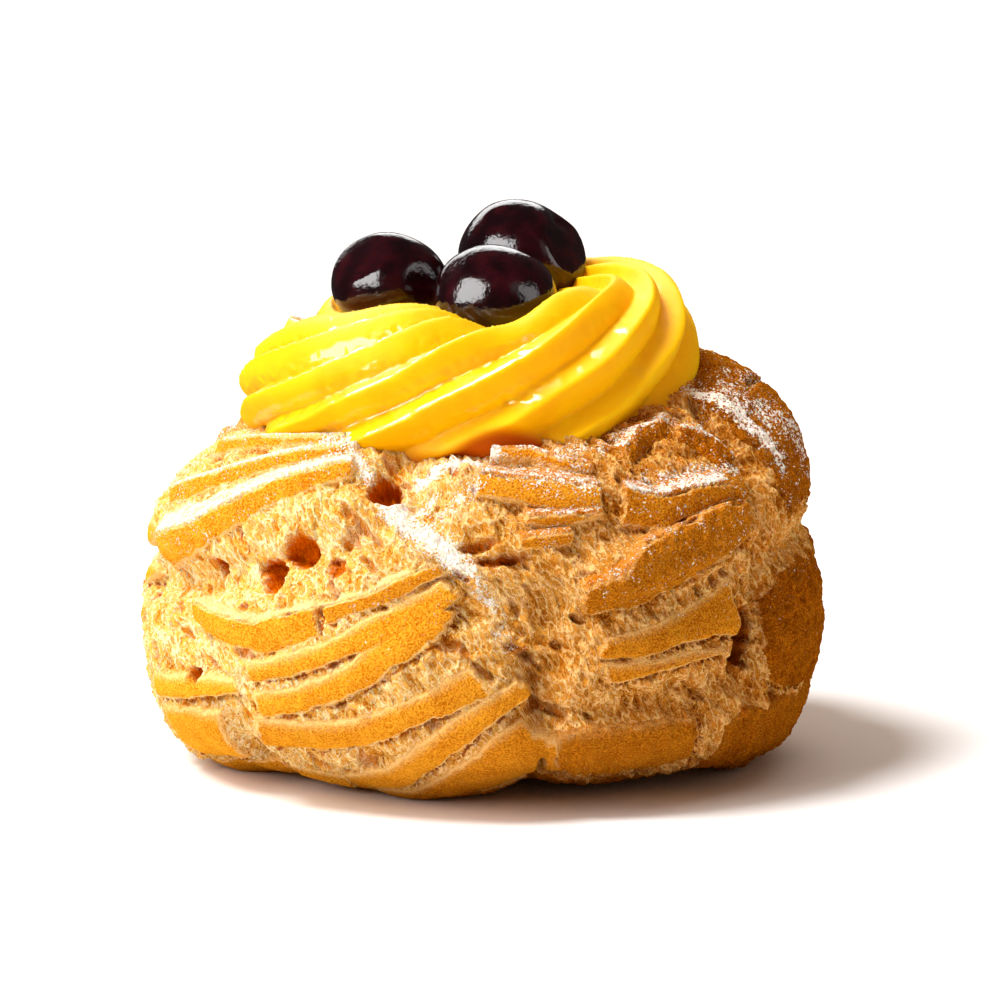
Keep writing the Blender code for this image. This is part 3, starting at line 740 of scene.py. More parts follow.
def lay_plates(azimuth, climb, inside, ragged, toast_and_shade):
    """How far a place is inside the crust, which covers the foot too, and how the crust is there."""
    height = np.full(len(climb), PLATE_RISE)
    trodden = np.full(len(climb), FAR_OUTSIDE)
    drop, pores, sugar, fade = np.zeros((4, len(climb)))
    brown = CRUST_BROWN_LEAST + CRUST_BROWN_BY_TOAST_AND_SHADE * toast_and_shade
    for plate in PLATES:
        here, on_tread, rise, under, rear, paling = plate_heights(azimuth, climb, plate, ragged)
        nearer = here > inside
        inside = np.where(nearer, here, inside)
        height = np.where(nearer, rise, height)
        brown = np.where(nearer, plate.brown, brown)
        fade = np.where(nearer, paling, fade)
        pores = np.maximum(pores, under * (STEP_PORES if plate.tread else 1.0))
        if plate.tread:
            behind = (on_tread > trodden) & (on_tread > 0)
            trodden = np.maximum(trodden, on_tread)
            drop = np.where(behind, STEP_LOW + (STEP_HIGH - STEP_LOW) * (1 - rear) ** TREAD_FALL, drop)
            dusted = plate.sugar * smooth_step(on_tread, 0.0, TREAD_SUGAR_EDGE)
            sugar = np.maximum(sugar, dusted * (1 - TREAD_SUGAR_THINS * rear))
    # Deeper brown on the crust low at the front: partly its own bake and partly painted shade.
    low = (1 - smooth_step(climb, *FOOT_BROWN_CLIMBS)) * smooth_step(azimuth, *FOOT_BROWN_TURNS)
    brown = brown + FOOT_BROWN * (1 - brown) * low
    for crack in CRACKS:
        half_width = crack.half_width * (1 + CRACK_RAGGED * ragged)
        split = line_patch(azimuth, climb, crack._replace(half_width=half_width))
        torn_off = np.minimum(inside, CRACK_DEEP - CRACK_SLOPE * split)
        inside = np.where(split > CRACK_SHOWS, torn_off, inside)
        # The cracks join the pores, which the material darkens as painted shade.
        pores = np.maximum(pores, split)
    return Crust(inside, height, trodden, drop, pores, sugar, fade, brown)


# %% The web of the crumb
WARP, WARP_SIZES = 0.9, (3.1, 3.1, 4.0)
Strand = namedtuple("Strand", "size height seed")
STRANDS = (Strand((4.0, 4.0, 5.0), 0.40, 43.0), Strand((1.0, 1.0, 3.0), 0.26, 3.0),
           Strand((0.6, 0.6, 1.6), 0.15, 13.0))
STRAND_SHARP = 3.4
CELL_SIZE, CELL_HEIGHT, CELL_WALL = (1.8, 1.8, 2.6), 0.28, (0.02, 0.42)
FOAMY_SIZE, FOAMY_MEAN = 4.5, 0.5


def cell_walls(points, size, seed):
    """1 on the thin walls of a foam and -1 in its cells."""
    shifted = points / np.array(size) + np.array((seed, -1.7 * seed, 2.3 * seed))
    nearest = np.array([noise.voronoi(p)[0][:2] for p in shifted.tolist()])
    return 1 - 2 * smooth_step(nearest[:, 1] - nearest[:, 0], *CELL_WALL)


def ridges(points, size, seed):
    """1 on thin winding lines and -1 away from them."""
    return np.clip(1 - STRAND_SHARP * np.abs(lumps(points, size, seed)), -1, 1)


def strands_of(chart):
    """Strands of torn crumb, from about -1 in the hollows to 1 on the strands, and their height."""
    drift = [lumps(chart, size, seed) for size, seed in zip(WARP_SIZES, (21.0, 22.0, 23.0))]
    bent = chart + WARP * np.stack(drift, 1)
    foamy = FOAMY_MEAN * (1 + lumps(chart, FOAMY_SIZE, 24.0))
    total = CELL_HEIGHT * foamy * cell_walls(bent, CELL_SIZE, 2.0)
    total_height = CELL_HEIGHT * FOAMY_MEAN
    for strand in STRANDS:
        total += strand.height * ridges(bent, strand.size, strand.seed)
        total_height += strand.height
    return np.clip(total / total_height, -1, 1), total_height


print("height of the web:", round(strands_of(np.zeros((1, 3)))[1], 2), "mm")

# %% Relief of the skin
FRILL_CLIMB, FRILL_WAVE, FRILL_SIZE = 8.0, 2.0, 7.0
RAGGED_SIZE, RAGGED_FINE, RAGGED_FINE_SHARE = 2.6, 0.9, 0.6
COVER_EDGE, TREAD_EDGE, PIT_OPENS = (-0.15, 0.3), (-0.1, 0.5), (0.3, 1.1)
NEAR_PLATE = 1.5
FIBRE_LEAN = 0.5
HOLE_SIZE, HOLE_EDGE, HOLE_DEPTH, HOLE_PAINTED_SHADE = (2.2, 2.2, 3.4), (0.32, 0.52), 0.8, 0.6
SUGAR_FILLS = 0.7
CRUMB_DROP = 0.12
SWELL_SIZE, SWELL_HEIGHT = 4.0, 0.5
CLUMP_SIZE, CLUMP_HEIGHT = 2.4, 0.4
PORE_DEPTH, PORE_SIZE, PORE_EDGE, PORE_LEAST = 0.45, 0.75, (-0.15, 0.2), 0.35
TREAD_SMOOTH, TREAD_WEB = 0.7, 0.12
CREASE_SIZE, CREASE_HEIGHT = (9.0, 9.0, 0.8), 0.08
GRAIN_SIZE, GRAIN = 0.7, 0.04
AGED_FROM, AGED_TO = 0.5, 0.85
WRINKLE_SIZE, WRINKLE_HEIGHT, WRINKLE_FINE, WRINKLE_SUNK = (1.8, 1.8, 4.5), 0.30, 0.9, 0.5
POCK_SIZE, POCK_DEPTH, POCK_EDGE = 1.1, 0.35, (0.2, 0.5)
FOLD_SIZE, FOLD_HEIGHT = (15.0, 15.0, 5.0), 0.7
VALLEY_SHARE_ON_PLATES = 0.3
BASE_RISE, UNEVEN_SIZE, UNEVEN_HEIGHT = 0.55, 16.0, 0.9
UNDER_EDGE, BED_EDGE = (-10.0, 3.0), (68.0, 75.0)
UNDERCUT = 0.2
PIT_FULL = 1.6
SPECKS, SPECKS_CLIMBS = 0.2, (25.0, 45.0)
RIM_FADE, RIM_EDGE, RIM_BROWN, RIM_BROWN_LESS = 0.6, (0.15, 0.55), (0.6, 0.85), 0.75


def on_cylinder(angle, climb):
    """The chart rolled into a cylinder, so that noise on it has no seam."""
    return np.stack([CHART_RADIUS * np.cos(angle), CHART_RADIUS * np.sin(angle), climb], 1)


def crust_relief(chart, crust, aged, torn):
    """Height of the crust, and the wrinkles of the ridges that baked longest."""
    lines = ridges(chart, WRINKLE_SIZE, 51.0)
    wrinkles = WRINKLE_HEIGHT * (lines + lumps(chart, WRINKLE_FINE, 53.0) - WRINKLE_SUNK)
    pocks = POCK_DEPTH * smooth_step(lumps(chart, POCK_SIZE, 52.0), *POCK_EDGE)
    creased = crust.height + CREASE_HEIGHT * lumps(chart, CREASE_SIZE, 8.0)
    plain_crust = creased + GRAIN * lumps(chart, GRAIN_SIZE, 12.0) - VALLEY_SHARE_ON_PLATES * torn
    folds = FOLD_HEIGHT * lumps(chart, FOLD_SIZE, 54.0)
    return plain_crust + aged * (wrinkles - pocks + folds), lines


def bun_skin(azimuth, climb):
    """Places on the skin in mm, and what the finish needs to know of each of them."""
    plain = plain_bun(azimuth, climb)
    angle = np.radians(azimuth)
    chart = on_cylinder(angle, climb)
    fibres = on_cylinder(angle + FIBRE_LEAN * climb / CHART_RADIUS, climb)

    ragged = lumps(chart, RAGGED_SIZE, 5.0) + RAGGED_FINE_SHARE * lumps(chart, RAGGED_FINE, 11.0)
    toast_and_shade = toast_and_shade_at(azimuth, climb)
    foot = FRILL_CLIMB + FRILL_WAVE * lumps(plain, FRILL_SIZE, 9.0) - climb
    crust = lay_plates(azimuth, climb, foot, ragged, toast_and_shade)
    pits = sum(pit.depth * patch(azimuth, climb, pit, ragged) for pit in PITS)
    cover = smooth_step(crust.inside, *COVER_EDGE) * (1 - smooth_step(pits, *PIT_OPENS))
    tread = smooth_step(crust.trodden, *TREAD_EDGE) * (1 - cover)
    pores = crust.pores * (1 - cover)
    # near marks the crumb beside a plate, which the material darkens as painted shade.
    near = smooth_step(crust.inside, -NEAR_PLATE, 0.0) * (1 - cover)
    sugar = crust.sugar
    for line in DUSTINGS:
        sugar = np.maximum(sugar, line.amount * line_patch(azimuth, climb, line))

    holes = HOLE_DEPTH * smooth_step(lumps(fibres, HOLE_SIZE, 61.0), *HOLE_EDGE) * (1 - cover) * (1 - tread)
    torn = valley_depth(azimuth, climb) + pits + holes
    strands, strand_height = strands_of(fibres)
    web = strand_height * strands * (1 - TREAD_SMOOTH * tread) * (1 - SUGAR_FILLS * sugar * (1 - tread))
    broken = PORE_LEAST + (1 - PORE_LEAST) * smooth_step(lumps(chart, PORE_SIZE, 31.0), *PORE_EDGE)
    swells = SWELL_HEIGHT * lumps(plain, SWELL_SIZE, 2.0) + CLUMP_HEIGHT * lumps(fibres, CLUMP_SIZE, 14.0)
    crumb = swells - CRUMB_DROP - torn + web - PORE_DEPTH * pores * broken

    aged = smooth_step(crust.brown, AGED_FROM, AGED_TO) * cover
    skin, lines = crust_relief(chart, crust, aged, torn)

    step = crust.drop - VALLEY_SHARE_ON_PLATES * torn + TREAD_WEB * strands
    relief = crumb + (step - crumb) * tread
    relief = relief + (skin - relief) * cover
    relief = relief + BASE_RISE + mass_height(azimuth, climb) + UNEVEN_HEIGHT * lumps(plain, UNEVEN_SIZE, 1.0)
    present = smooth_step(climb, *UNDER_EDGE) * (1 - smooth_step(climb, *BED_EDGE))
    lowered = climb - UNDERCUT * cover * present
    places = plain_bun(azimuth, lowered) + outward(plain_bun, azimuth, climb) * (relief * present)[:, None]
    places[:, 2] = np.maximum(places[:, 2], 0.0)

    open_pits = np.clip(pits / PIT_FULL, 0, 1)
    # The pale rim at a plate's border is its own colour; the fade over its upper side is painted light.
    pale_rim = np.maximum(1 - smooth_step(crust.inside, *RIM_EDGE), RIM_FADE * crust.fade)
    return places, {
        "crust": cover,
        "edge": cover * pale_rim * (1 - RIM_BROWN_LESS * smooth_step(crust.brown, *RIM_BROWN)),
        "tread": tread,
        "strand": strands * 0.5 + 0.5,
        # gap: the crumb beside a plate, darkened in the material as painted shade.
        "gap": near,
        # pores: the material darkens the pores and cracks as painted shade.
        "pores": pores,
        # pit: the pits and holes, darkened in the material as painted shade.
        "pit": np.clip(pits / PIT_FULL + HOLE_PAINTED_SHADE * holes, 0, 1),
        "brown": toast_and_shade + (crust.brown - toast_and_shade) * cover,
        "aged": aged * (1 + lines) / 2,
        "sugar": np.maximum(sugar * (1 - open_pits), SPECKS * cover * smooth_step(climb, *SPECKS_CLIMBS)),
    }


print("the skin carries:", list(bun_skin(np.array([0.0]), np.array([30.0]))[1]))

# %% [markdown]
# The skin is made in sectors, like the segments of an orange, because one piece stays under two
# hundred thousand triangles and the front needs a fine mesh. Each sector starts as a flat grid
# whose columns become azimuths and whose rows become climbs. Its first and last rows close up to a
# point, and an edge down the middle of the bun lets two walls close it into a solid.

# %% Sectors of the skin
SKIN_STEP = 0.24
FOOT_ROWS, BED_ROWS = 14, 12
SKIN_FROM, SKIN_TO = -3.0, 76.0
BACK_STEP = SKIN_STEP * 1.8
Sector = namedtuple("Sector", "name first last step")
SECTORS = (
    Sector("choux_front_left", -185, -121, SKIN_STEP),
    Sector("choux_front", -121, -57, SKIN_STEP),
    Sector("choux_front_right", -57, 7, SKIN_STEP),
    Sector("choux_back_right", 7, 91, BACK_STEP),
    Sector("choux_back_left", 91, 175, BACK_STEP),
)
MERGE = 1e-6


def row_climbs():
    """Climbs of the rows: few under the foot and in the bed, close together on the skin."""
    fine = np.arange(SKIN_FROM, SKIN_TO, SKIN_STEP)
    foot = np.linspace(BUN_PROFILE.start, SKIN_FROM, FOOT_ROWS, endpoint=False)
    bed = np.linspace(SKIN_TO, BUN_PROFILE.end, BED_ROWS)
    return np.concatenate([foot, fine, bed])


def set_places(form, places, finish):
    """Moves the vertices to their places, and keeps each list of the finish as a layer."""
    layers = [form.verts.layers.float.new(key) for key in finish]
    columns = [values.tolist() for values in finish.values()]
    for vertex, place, *values in zip(form.verts, (places * MM).tolist(), *columns):
        vertex.co = place
        for layer, value in zip(layers, values):
            vertex[layer] = value


def close_sector(form, middle):
    """Closes a sector with an edge down the axis and a flat wall on each side of its middle."""
    rim = [edge for edge in form.edges if edge.is_boundary]
    poles = {vertex for edge in rim for vertex in edge.verts if vertex.co.xy.length < MERGE}
    axis = form.edges.new(sorted(poles, key=lambda vertex: vertex.co.z))
    side = Vector((-math.sin(middle), math.cos(middle)))
    for sign in (-1, 1):
        wall = [e for e in rim if sign * sum((v.co.xy.dot(side) for v in e.verts)) > 0]
        made = bmesh.ops.contextual_create(form, geom=[*wall, axis])
        for face in made["faces"]:
            face.smooth = False
    for edge in [*rim, axis]:
        edge.smooth = False


def make_sector(name, first, last, step):
    """One segment of the bun, whose vertices carry what the finish needs to know."""
    climbs = row_climbs()
    columns = round((last - first) * math.radians(1) * CHART_RADIUS / step)
    form = bmesh.new()
    bmesh.ops.create_grid(form, x_segments=columns, y_segments=len(climbs) - 1, size=0.5)
    flat = np.array([v.co for v in form.verts]) + 0.5
    azimuth = first + (last - first) * flat[:, 0]
    climb = np.interp(flat[:, 1] * (len(climbs) - 1), np.arange(len(climbs)), climbs)
    set_places(form, *bun_skin(azimuth, climb))
    for face in form.faces:
        face.smooth = True
    bmesh.ops.remove_doubles(form, verts=form.verts, dist=MERGE)
    close_sector(form, math.radians((first + last) / 2))
    bmesh.ops.recalc_face_normals(form, faces=form.faces)
    mesh = bpy.data.meshes.new(name)
    form.to_mesh(mesh)
    form.free()
    obj = bpy.data.objects.new(name, mesh)
    scene.collection.objects.link(obj)
    return obj


def triangles(obj):
    obj.data.calc_loop_triangles()
    return len(obj.data.loop_triangles)


print("rows of the skin:", len(row_climbs()))

# %% Make the skin
sectors = [make_sector(*sector) for sector in SECTORS]
for sector in sectors:
    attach(sector, "root")
    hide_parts("choux")
    print(sector.name, triangles(sector), "triangles")

# %% [markdown]
# ## Finish of the choux
#
# Baked choux is brown where the ridges stood in the heat and pale where it tore late. The mesh
# already knows which is which, so the material mixes three looks by the attributes that the mesh
# carries: a golden crust with a fine speckle and paler edges, a crumb of cream threads over orange
# hollows, and dry white sugar on top. The crust pales over the upper side of a plate as painted
# light, and the crumb's hollows are darker as painted shade. The steps above the ridges are paler
# than the crumb round them, and the pores, the cracks, the crumb beside the plates, the pits and
# the holes are darkened as painted shade. How far a place was baked, together with painted shade at
# the right, at the back and low down, takes every tone to a deeper one. A little subsurface
# scattering lets light bleed through the threads, which keeps their shadows warm.

# %% Colours of the choux
CRUST_GOLD, CRUST_AMBER = named_rgb(250, 178, 48), named_rgb(208, 116, 6)
CRUST_BROWN, CRUST_DARK = named_rgb(184, 92, 0), named_rgb(110, 44, 0)
CRUST_EDGE, CRUST_EDGE_BROWN = named_rgb(254, 224, 154), named_rgb(232, 172, 92)
THREAD_CREAM, THREAD_TAN = named_rgb(254, 232, 178), named_rgb(234, 176, 98)
CRUMB_GOLD, CRUMB_TAN = named_rgb(240, 184, 82), named_rgb(190, 112, 24)
# The hollow tones are painted shade in the hollows of the crumb.
HOLLOW_ORANGE, HOLLOW_BROWN = named_rgb(214, 122, 14), named_rgb(130, 60, 2)
# The pore tones are painted shade under the plates, beside them and in the cracks.
PORE_ORANGE, PORE_BROWN = named_rgb(168, 72, 0), named_rgb(96, 36, 0)
# The pit tones are painted shade in the pits and holes.
PIT_ORANGE, PIT_BROWN = named_rgb(206, 96, 0), named_rgb(100, 40, 0)
SUGAR_WHITE = named_rgb(254, 246, 234)
print("golden crust in linear values:", [round(share, 3) for share in CRUST_GOLD])

# %% The crust's part of the material
FIBRE_ANGLE, FIBRE_STRETCH = math.radians(-25), 2.2
BEND_SIZE, BEND = 0.0016, 0.0007
SPECKLE, BLOTCH, EDGE_NOISE = 0.00027, 0.0035, 0.0005
CRUST_SHOWS, GOLD_SHOWS, BROWN_SHOWS, PALE_RIM_AND_PAINTED_LIGHT_SHOWS = (0.38, 0.58), (0.60, 1.30), (0.72, 1.3), (0.15, 0.95)

choux = Paint("baked choux", Specular_IOR_Level=0.0, Subsurface_Weight=0.3,
              Subsurface_Radius=(1.0, 0.42, 0.10), Subsurface_Scale=0.0018)
here = choux.place()
hanging = choux.bent(choux.leaning(FIBRE_ANGLE, FIBRE_STRETCH), BEND_SIZE, BEND)
# brown carries the bake of each place together with painted shade at the right, at the back and low down.
toast_and_shade = choux.attribute("brown")
speckle = choux.grain(SPECKLE, here, detail=1.0)
blotch = choux.grain(BLOTCH, here, detail=4.0)
edge_noise = choux.grain(EDGE_NOISE, here, detail=3.0)
cover = choux.rise(choux.attribute("crust") + (edge_noise - 0.5) * 0.7, *CRUST_SHOWS)

mottled = speckle * 1.5 + blotch * 0.5
crust_tone = choux.mix(choux.rise(mottled, *GOLD_SHOWS), CRUST_AMBER, CRUST_GOLD)
brown_mottled = choux.rise(mottled - choux.attribute("aged") * 0.3, *BROWN_SHOWS)
brown_tone = choux.mix(brown_mottled, CRUST_DARK, CRUST_BROWN)
crust_tone = choux.mix(toast_and_shade, crust_tone, brown_tone)
# The pale rim of a plate is its own colour; its paling over the upper side is painted light.
pale_rim_and_painted_light = choux.rise(choux.attribute("edge") + (edge_noise - 0.5) * 0.5, *PALE_RIM_AND_PAINTED_LIGHT_SHOWS)
crust_tone = choux.mix(pale_rim_and_painted_light * 0.74, crust_tone, choux.mix(toast_and_shade, CRUST_EDGE, CRUST_EDGE_BROWN))
print("nodes so far:", len(choux.tree.nodes))

# %% The crumb's part of the material
WEB_SIZE, WEB_WIDTH = 0.0012, 0.07
MESH_SIZE, MESH_WIDTH = 0.0006, 0.08
FINE_GRAIN = 0.00030
CRUMB_SHOWS, THREADS_SHOW, STEPS_BROWN = (0.06, 0.40), (0.36, 0.84), (0.2, 0.6)
DOT_SIZE, DOTS_SHOW = 0.0007, (0.42, 0.56)

web = choux.threads(WEB_SIZE, hanging, WEB_WIDTH)
mesh = choux.threads(MESH_SIZE, hanging, MESH_WIDTH)
fine = choux.grain(FINE_GRAIN, here, detail=2.0)
# Painted light and shade: the crumb is paler on its raised strands and darker in its hollows, partly its own
# cream threads and partly painted shade.
light = choux.attribute("strand") * 0.5 + web * 0.3 + mesh * 0.26 + (fine - 0.5) * 0.7 + (blotch - 0.5) * 0.5
pore_tone = choux.mix(toast_and_shade, PORE_ORANGE, PORE_BROWN)
pit_tone = choux.mix(toast_and_shade, PIT_ORANGE, PIT_BROWN)
hollow_tone = choux.mix(toast_and_shade, HOLLOW_ORANGE, HOLLOW_BROWN)
# Painted shade: the crumb beside the plates takes the darker pore tone.
hollow_tone = choux.mix(choux.attribute("gap") * 0.7, hollow_tone, pore_tone)
crumb_tone = choux.mix(choux.rise(light, *CRUMB_SHOWS), hollow_tone, choux.mix(toast_and_shade, CRUMB_GOLD, CRUMB_TAN))
thread_tone = choux.mix(toast_and_shade, THREAD_CREAM, THREAD_TAN)
crumb_tone = choux.mix(choux.rise(light, *THREADS_SHOW), crumb_tone, thread_tone)
step_tone = choux.mix(choux.rise(toast_and_shade, *STEPS_BROWN), CRUST_EDGE, CRUST_AMBER)
crumb_tone = choux.mix(choux.attribute("tread") * 0.7, crumb_tone, step_tone)
# Painted shade: dark dots under the plates' lower edges and in the cracks.
dots = choux.rise(choux.grain(DOT_SIZE, here, detail=1.0), *DOTS_SHOW)
crumb_tone = choux.mix(choux.attribute("pores") * dots, crumb_tone, pore_tone)
# Painted shade: the pits and holes take the darker pit tone.
crumb_tone = choux.mix(choux.attribute("pit") * (1.6 - light * 0.6), crumb_tone, pit_tone)
dough = choux.mix(cover, crumb_tone, crust_tone)
print("nodes so far:", len(choux.tree.nodes))

# %% The sugar, and the whole finish
POWDER, DRIFT, SUGAR_SHOWS = 0.00032, 0.0014, (0.42, 0.60)
CHOUX_BUMP = 0.00022

powder = choux.grain(POWDER, here, detail=3.0)
drift = choux.grain(DRIFT, here, detail=3.0)
scatter = powder * 0.65 + drift * 0.35
sugar = choux.rise((scatter - 0.5) * 2.6 + choux.attribute("sugar"), *SUGAR_SHOWS)
colour = choux.mix(sugar * 0.92, dough, SUGAR_WHITE)
relief = cover * speckle * 1.9 + (1 - cover) * (web * 0.9 + mesh * 0.7 + fine * 0.5) + sugar * powder * 0.8
bumpy = choux.bump(relief, CHOUX_BUMP)
choux_finish = choux.send(Base_Color=colour, Roughness=0.7 + sugar * 0.2, Normal=bumpy)
for sector in sectors:
    sector.data.materials.append(choux_finish)
print("choux nodes:", len(choux.tree.nodes))

# %% [markdown]
# ## Custard
#
# The custard was piped in a low round first and then in one generous swirl, and the star nozzle
# left a dozen ridges that lean over like roof tiles: each has a long soft face and then a narrow
# groove. The same chart idea makes it, with the ridges as a saw tooth of the azimuth that turns as
# it climbs. The grooves shine, so their flanks are rippled in the mesh itself: the clear coat of
# the material doesn't follow its bump.

# %% Custard form
CUSTARD_PROFILE = TurnedProfile((
    (0, 40), (18, 40), (25.5, 42.8), (28.2, 45.6), (28.4, 47.4), (29.8, 49.2), (30.3, 52), (30.4, 55.5),
    (29.3, 60), (26.3, 63.6), (21.5, 65.2), (15, 64.2), (7, 62), (0, 61.4),
))
TIER_CENTRE = (0.0, -1.6)
SWIRL_CENTRE = (-1.9, -1.0)
CUSTARD_DEPTH_TO_WIDTH = 0.95
FOOT_TILT, CREST_TILT, BACK_TILT = 0.05, 0.145, 0.03
CREST_FROM, CREST_TO = 48.0, 66.0
Swell = namedtuple("Swell", "x y width height")
SWELLS = (Swell(1.8, -19.5, 7.5, -3.2), Swell(-10, -12, 11.0, 2.4), Swell(-27, 2, 8.0, -1.5))
SWIRL_RIDGES = 12
SWIRL_PITCH = 2.25
SWIRL_HEIGHT = 2.6
SWIRL_GROOVE = 0.64
SWIRL_START = 143.0
SWIRL_SWAY = 5.0
SWIRL_UNEVEN = 0.3
SWIRL_SUNK = 0.45
RIPPLE, RIPPLE_SIZE, RIPPLE_ON_FACES = 0.18, 1.5, 0.15
SHINGLE_POWER = 1.3
SWAY_SIZE, SWIRL_UNEVEN_SIZE = 14.0, 11.0
FLOW_HEIGHT, FLOWS_A_RIDGE, FLOW_CLIMB, FLOW_DRIFT = 0.12, 4.0, 9.0, 0.02
FLANK_EDGE, FLANK_CLIMB = (-0.36, -0.14), 3.0
FLANK_DRY, FLANK_DRY_AT = 0.8, (0.1, 0.5)
TIER_CLIMB = 15.5
TIER_EDGE, TIER_BLEND = 2.6, 3.0
TIER_SHOWS_AT, TIER_SHOWS_WIDTH, TIER_SHOWS = -82.0, 14.0, 4.2
FADE_FROM, FADE_TO = 26.0, 6.0
FADE = 0.75
INNER_RADIUS = 5.0
CUSTARD_COLUMNS, CUSTARD_ROWS = 460, 210


def swirl_twist(climb):
    """Degrees that a ridge has turned round the custard by the time it has climbed this far."""
    radius, _ = CUSTARD_PROFILE.at(CUSTARD_PROFILE.along)
    rate = np.degrees(SWIRL_PITCH / np.maximum(radius, INNER_RADIUS))
    steps = np.diff(CUSTARD_PROFILE.along) * (rate[:-1] + rate[1:]) / 2
    return np.interp(climb, CUSTARD_PROFILE.along, np.concatenate([[0], np.cumsum(steps)]))


def shingle(phase):
    """One piped ridge: a crest at 0, a long face falling away below it, then a narrow groove."""
    x = phase % 1.0
    face = 1 - np.clip(x / SWIRL_GROOVE, 0, 1) ** SHINGLE_POWER
    groove = np.clip((x - SWIRL_GROOVE) / (1 - SWIRL_GROOVE), 0, 1) ** SHINGLE_POWER
    return np.where(x < SWIRL_GROOVE, face, groove)


def plain_custard(azimuth, climb):
    """The custard without ridges: a low round, and the swirl set a little off it on top."""
    radius, height = CUSTARD_PROFILE.at(climb)
    angle = np.radians(azimuth)
    upper = smooth_step(climb, TIER_CLIMB - TIER_BLEND, TIER_CLIMB + TIER_BLEND)
    x = TIER_CENTRE[0] + upper * (SWIRL_CENTRE[0] - TIER_CENTRE[0]) + radius * np.cos(angle)
    y = TIER_CENTRE[1] + upper * (SWIRL_CENTRE[1] - TIER_CENTRE[1])
    y = y + radius * np.sin(angle) * CUSTARD_DEPTH_TO_WIDTH
    crest = smooth_step(height, CREST_FROM, CREST_TO)
    height = height + (FOOT_TILT + (CREST_TILT - FOOT_TILT) * crest) * x + BACK_TILT * y
    for swell in SWELLS:
        away = ((x - swell.x) ** 2 + (y - swell.y) ** 2) / (swell.width**2 / 2)
        height = height + swell.height * crest * np.exp(-away)
    return np.stack([x, y, height], 1)


def custard_surface(azimuth, climb):
    """Places on the custard in mm, and which are on the wet flank of a ridge and which in the swirl."""
    plain = plain_custard(azimuth, climb)
    sway = SWIRL_SWAY * lumps(plain, SWAY_SIZE, 3.0)
    phase = SWIRL_RIDGES * (azimuth + SWIRL_START + sway - swirl_twist(climb)) / 360
    swell = 1 + SWIRL_UNEVEN * lumps(plain, SWIRL_UNEVEN_SIZE, 6.0)
    top = smooth_step(climb, CUSTARD_PROFILE.end - FADE_FROM, CUSTARD_PROFILE.end - FADE_TO)
    bottom = TIER_CLIMB + TIER_SHOWS * np.exp(-(((azimuth - TIER_SHOWS_AT) / TIER_SHOWS_WIDTH) ** 2))
    tier = smooth_step(climb, bottom - TIER_EDGE, bottom)
    saw = shingle(phase)
    height = SWIRL_HEIGHT * (saw - SWIRL_SUNK) * swell * tier * (1 - FADE * top)
    flow = np.stack([phase * FLOWS_A_RIDGE, climb / FLOW_CLIMB, plain[:, 0] * FLOW_DRIFT], 1)
    height = height + FLOW_HEIGHT * lumps(flow, 1.0, 4.0) * tier
    flank = smooth_step(phase % 1.0 - SWIRL_GROOVE, *FLANK_EDGE)
    flank = flank * smooth_step(climb, bottom, bottom + FLANK_CLIMB)
    flank = flank * (1 - FLANK_DRY * smooth_step(np.cos(np.radians(azimuth)), *FLANK_DRY_AT))
    rippled = RIPPLE_ON_FACES + (1 - RIPPLE_ON_FACES) * flank
    height = height + rippled * RIPPLE * ridges(plain, RIPPLE_SIZE, 7.0)
    places = plain + outward(plain_custard, azimuth, climb) * height[:, None]
    return places, {"flank": flank, "swirl": tier}


print("custard from its foot to the top:", round(CUSTARD_PROFILE.end, 1), "mm")

# %% Make the custard
def ball(segments, rings):
    form = bmesh.new()
    bmesh.ops.create_uvsphere(form, u_segments=segments, v_segments=rings, radius=1.0)
    return form


def finish_piece(name, form, material, node):
    """Turns a form into a smooth piece that rides on the body and stands for a node."""
    mesh = bpy.data.meshes.new(name)
    form.to_mesh(mesh)
    form.free()
    mesh.shade_smooth()
    mesh.materials.append(material)
    obj = bpy.data.objects.new(name, mesh)
    scene.collection.objects.link(obj)
    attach(obj, "root")
    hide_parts(node)
    print(name, triangles(obj), "triangles")
    return obj


CUSTARD_SHARES = (0.0, 0.06, 0.9, 1.0)
CUSTARD_CLIMBS = (CUSTARD_PROFILE.start, 2.0, CUSTARD_PROFILE.end - 9, CUSTARD_PROFILE.end)

custard_form = ball(CUSTARD_COLUMNS, CUSTARD_ROWS)
directions = np.array([v.co for v in custard_form.verts])
azimuth = np.degrees(np.arctan2(directions[:, 1], directions[:, 0]))
share = 1 - np.arccos(np.clip(directions[:, 2], -1, 1)) / math.pi
climb = np.interp(share, CUSTARD_SHARES, CUSTARD_CLIMBS)
set_places(custard_form, *custard_surface(azimuth, climb))

# %% [markdown]
# Custard is a wet, cloudy gel: light goes a little way in and comes out warmer, and the skin has a
# clear gloss. Subsurface scattering keeps its shadows orange instead of olive. The coat of gloss
# lies on the flanks in patches, and the low round, which is in the shade of the swirl, is painted a
# deeper tone as painted shade. One strong box, high at the left, is linked to the custard alone: its
# mirror image makes the flanks shine, and it would spoil the cherries.

# %% Custard material
CUSTARD_GOLD, CUSTARD_YELLOW = named_rgb(252, 184, 0), named_rgb(255, 194, 0)
CUSTARD_AMBER = named_rgb(200, 90, 0)
SOFT_CLOUD, WET_PATCH, CUSTARD_GRAIN, CUSTARD_BUMP = 0.006, 0.0025, 0.0012, 0.0004
YELLOW_SHOWS, WET_SHOWS = (0.3, 0.7), (0.28, 0.7)

